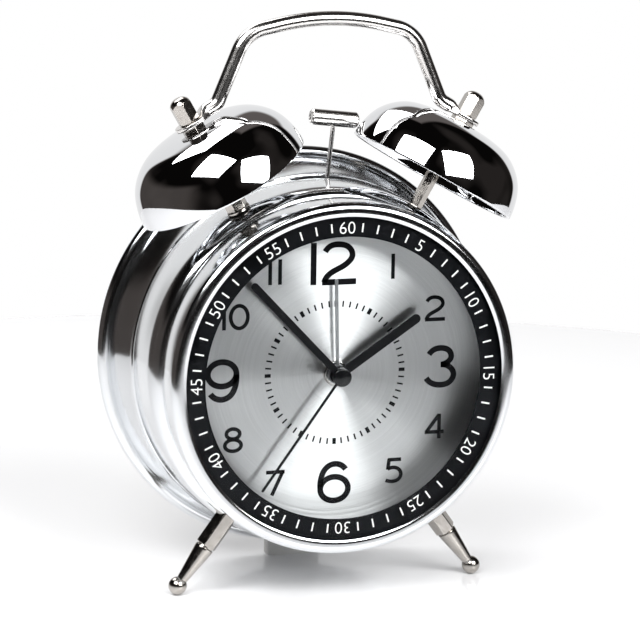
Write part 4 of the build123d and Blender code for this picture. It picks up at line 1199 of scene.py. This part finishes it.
@dataclass
class Studio:
    """Pale floor, a white sweep behind, a dark room in front with soft windows, and the camera."""

    camera_at: tuple[float, float, float] = (-231.9, -747.0, 225.4)
    ahead: tuple[float, float, float] = (0.2916, 0.9379, -0.1882)
    right: tuple[float, float, float] = (0.9556, -0.2944, 0.0138)
    lens: float = 155.8
    floor: float = 0.36
    floor_back: float = 0.05
    softboxes: tuple[Softbox, ...] = (
        Softbox("front window", -24, 36, 0.86, 0.66, -14, 8.0),
        Softbox("side window", 39, 20, 0.74, 0.66, -12, 10.0),
        Softbox("high window", -128, 60, 0.80, 0.55, 0, 5.0),
    )

    def axes(self) -> tuple[Vector, Vector, Vector]:
        """Work out the camera's right, up and backward directions."""
        back = -Vector(self.ahead).normalized()
        right = Vector(self.right)
        right = (right - back * right.dot(back)).normalized()
        return right, back.cross(right), back

    def build(self) -> None:
        """Set up the camera, the lights, the surroundings and the floor."""
        right, up, back = self.axes()
        turn = Matrix((right, up, back)).transposed().to_4x4()
        data = bpy.data.cameras.new("camera")
        data.lens = self.lens
        data.sensor_width = 36.0
        camera = linked("camera", data)
        camera.matrix_world = Matrix.Translation(Vector(self.camera_at) * MM) @ turn
        bpy.context.scene.camera = camera
        target = Vector((0, 0, 0.08))
        for box in self.softboxes:
            a, e = radians(box.across), radians(box.up)
            way = (back * cos(a) + right * sin(a)) * cos(e) + up * sin(e)
            light = bpy.data.lights.new(box.name, "AREA")
            light.shape = "RECTANGLE"
            light.size = box.width
            light.size_y = box.height
            light.energy = box.glow * pi * box.width * box.height
            lamp = linked(box.name, light)
            lamp.visible_camera = False
            aim = way.to_track_quat("Z", "Y").to_matrix().to_4x4()
            lamp.matrix_world = (Matrix.Translation(target + way * box.distance) @ aim
                                 @ Matrix.Rotation(radians(box.roll), 4, "Z"))
        self.surroundings(right, back)
        self.ground()
        bpy.context.scene.view_settings.view_transform = "Standard"

    def surroundings(self, right: Vector, back: Vector) -> None:
        """Make the world: plain white where it is looked at, and for reflections a room with a white sweep.

        Args:
            right: the camera's right.
            back: from the clock to the camera.
        """
        world = bpy.data.worlds.new("studio")
        bpy.context.scene.world = world
        world.use_nodes = True
        tree = world.node_tree
        tree.nodes.clear()
        way = add(tree, "ShaderNodeTexCoord").outputs["Generated"]
        deep = add(tree, "ShaderNodeVectorMath", {0: way, 1: tuple(-back)},
                   operation="DOT_PRODUCT").outputs["Value"]
        wide = add(tree, "ShaderNodeVectorMath", {0: way, 1: tuple(right)},
                   operation="DOT_PRODUCT").outputs["Value"]
        high = add(tree, "ShaderNodeSeparateXYZ", {0: way}).outputs["Z"]
        off = add(tree, "ShaderNodeMath", {0: wide}, operation="ABSOLUTE").outputs[0]
        edge = add(tree, "ShaderNodeMath", {0: off, 1: -1.1, 2: deep}, operation="MULTIPLY_ADD").outputs[0]
        sides = add(tree, "ShaderNodeMapRange", {"Value": edge, "From Min": -0.05, "From Max": 0.08,
                                                 "To Min": 0.0, "To Max": 1.0}, interpolation_type="SMOOTHSTEP")
        top = add(tree, "ShaderNodeMapRange", {"Value": high, "From Min": 0.46, "From Max": 0.58, "To Min": 1.0,
                                               "To Max": 0.0}, interpolation_type="SMOOTHSTEP")
        sweep = add(tree, "ShaderNodeMath", {0: sides.outputs[0], 1: top.outputs[0]},
                    operation="MULTIPLY").outputs[0]
        # the dark room is nearly black in front and brown at the left and above the sweep
        left = add(tree, "ShaderNodeMapRange", {"Value": wide, "From Min": -0.45, "From Max": -0.8, "To Min": 0.0,
                                                "To Max": 0.5}, interpolation_type="SMOOTHSTEP")
        low = add(tree, "ShaderNodeMapRange", {"Value": high, "From Min": 0.12, "From Max": 0.3, "To Min": 1.0,
                                               "To Max": 0.0}, interpolation_type="SMOOTHSTEP")
        warm = add(tree, "ShaderNodeMath", {0: left.outputs[0], 1: low.outputs[0]}, operation="MULTIPLY")
        lit = add(tree, "ShaderNodeMath", {0: sides.outputs[0], 1: warm.outputs[0]},
                  operation="MAXIMUM").outputs[0]
        room = add(tree, "ShaderNodeTexNoise", {"Vector": way, "Scale": 1.4, "Detail": 1.0})
        black = add(tree, "ShaderNodeMapRange", {"Value": room.outputs["Fac"], "From Min": 0.45, "From Max": 0.6,
                                                 "To Min": 0.003, "To Max": 0.022})
        dark = add(tree, "ShaderNodeMix", {0: lit, 2: black.outputs["Result"], 3: 0.13}).outputs[0]
        level = add(tree, "ShaderNodeMix", {0: sweep, 2: dark, 3: 0.92})
        shown = add(tree, "ShaderNodeLightPath").outputs["Is Camera Ray"]
        final = add(tree, "ShaderNodeMix", {0: shown, 2: level.outputs[0], 3: 1.0})
        bright = add(tree, "ShaderNodeMapRange", {"Value": final.outputs[0], "From Min": 0.02, "From Max": 0.5,
                                                  "To Min": 0.0, "To Max": 1.0})
        tone = add(tree, "ShaderNodeMix", {0: bright.outputs[0], 6: linear("FFEEE6"), 7: (1.0, 1.0, 1.0, 1.0)},
                   data_type="RGBA")
        light = add(tree, "ShaderNodeBackground", {"Color": tone.outputs[2], "Strength": final.outputs[0]})
        add(tree, "ShaderNodeOutputWorld", {"Surface": light.outputs[0]})

    def ground(self) -> None:
        """Make the pale floor, a glossy white sheet that fades into the white background."""
        bm = bmesh.new()
        bmesh.ops.create_circle(bm, cap_ends=True, segments=128, radius=self.floor,
                                matrix=Matrix.Translation((0, self.floor_back, 0)))
        mesh = bpy.data.meshes.new("floor")
        bm.to_mesh(mesh)
        bm.free()
        floor = linked("floor", mesh)
        material, tree = blank_material("acrylic sheet, white")
        shader = add(tree, "ShaderNodeBsdfPrincipled", {"Base Color": linear("E7E7E8"), "Roughness": 0.12,
                                                        "IOR": 1.35})
        add(tree, "ShaderNodeOutputMaterial", {"Surface": shader.outputs["BSDF"]})
        mesh.materials.append(material)


def main() -> None:
    """Build the clock from the case outwards, then the studio."""
    logging.basicConfig(level=logging.INFO, format="%(name)s: %(message)s")
    shop = Workshop()
    Case().build(shop)
    Dial().build(shop)
    Hands().build(shop)
    for side, name in SIDES:
        Bell(side, name).build(shop)
        Leg(side, name).build(shop)
    Handle().build(shop)
    Hammer().build(shop)
    Back().build(shop)
    shop.dress(INNER_NODES)
    Studio().build()


if __name__ == "__main__":
    main()
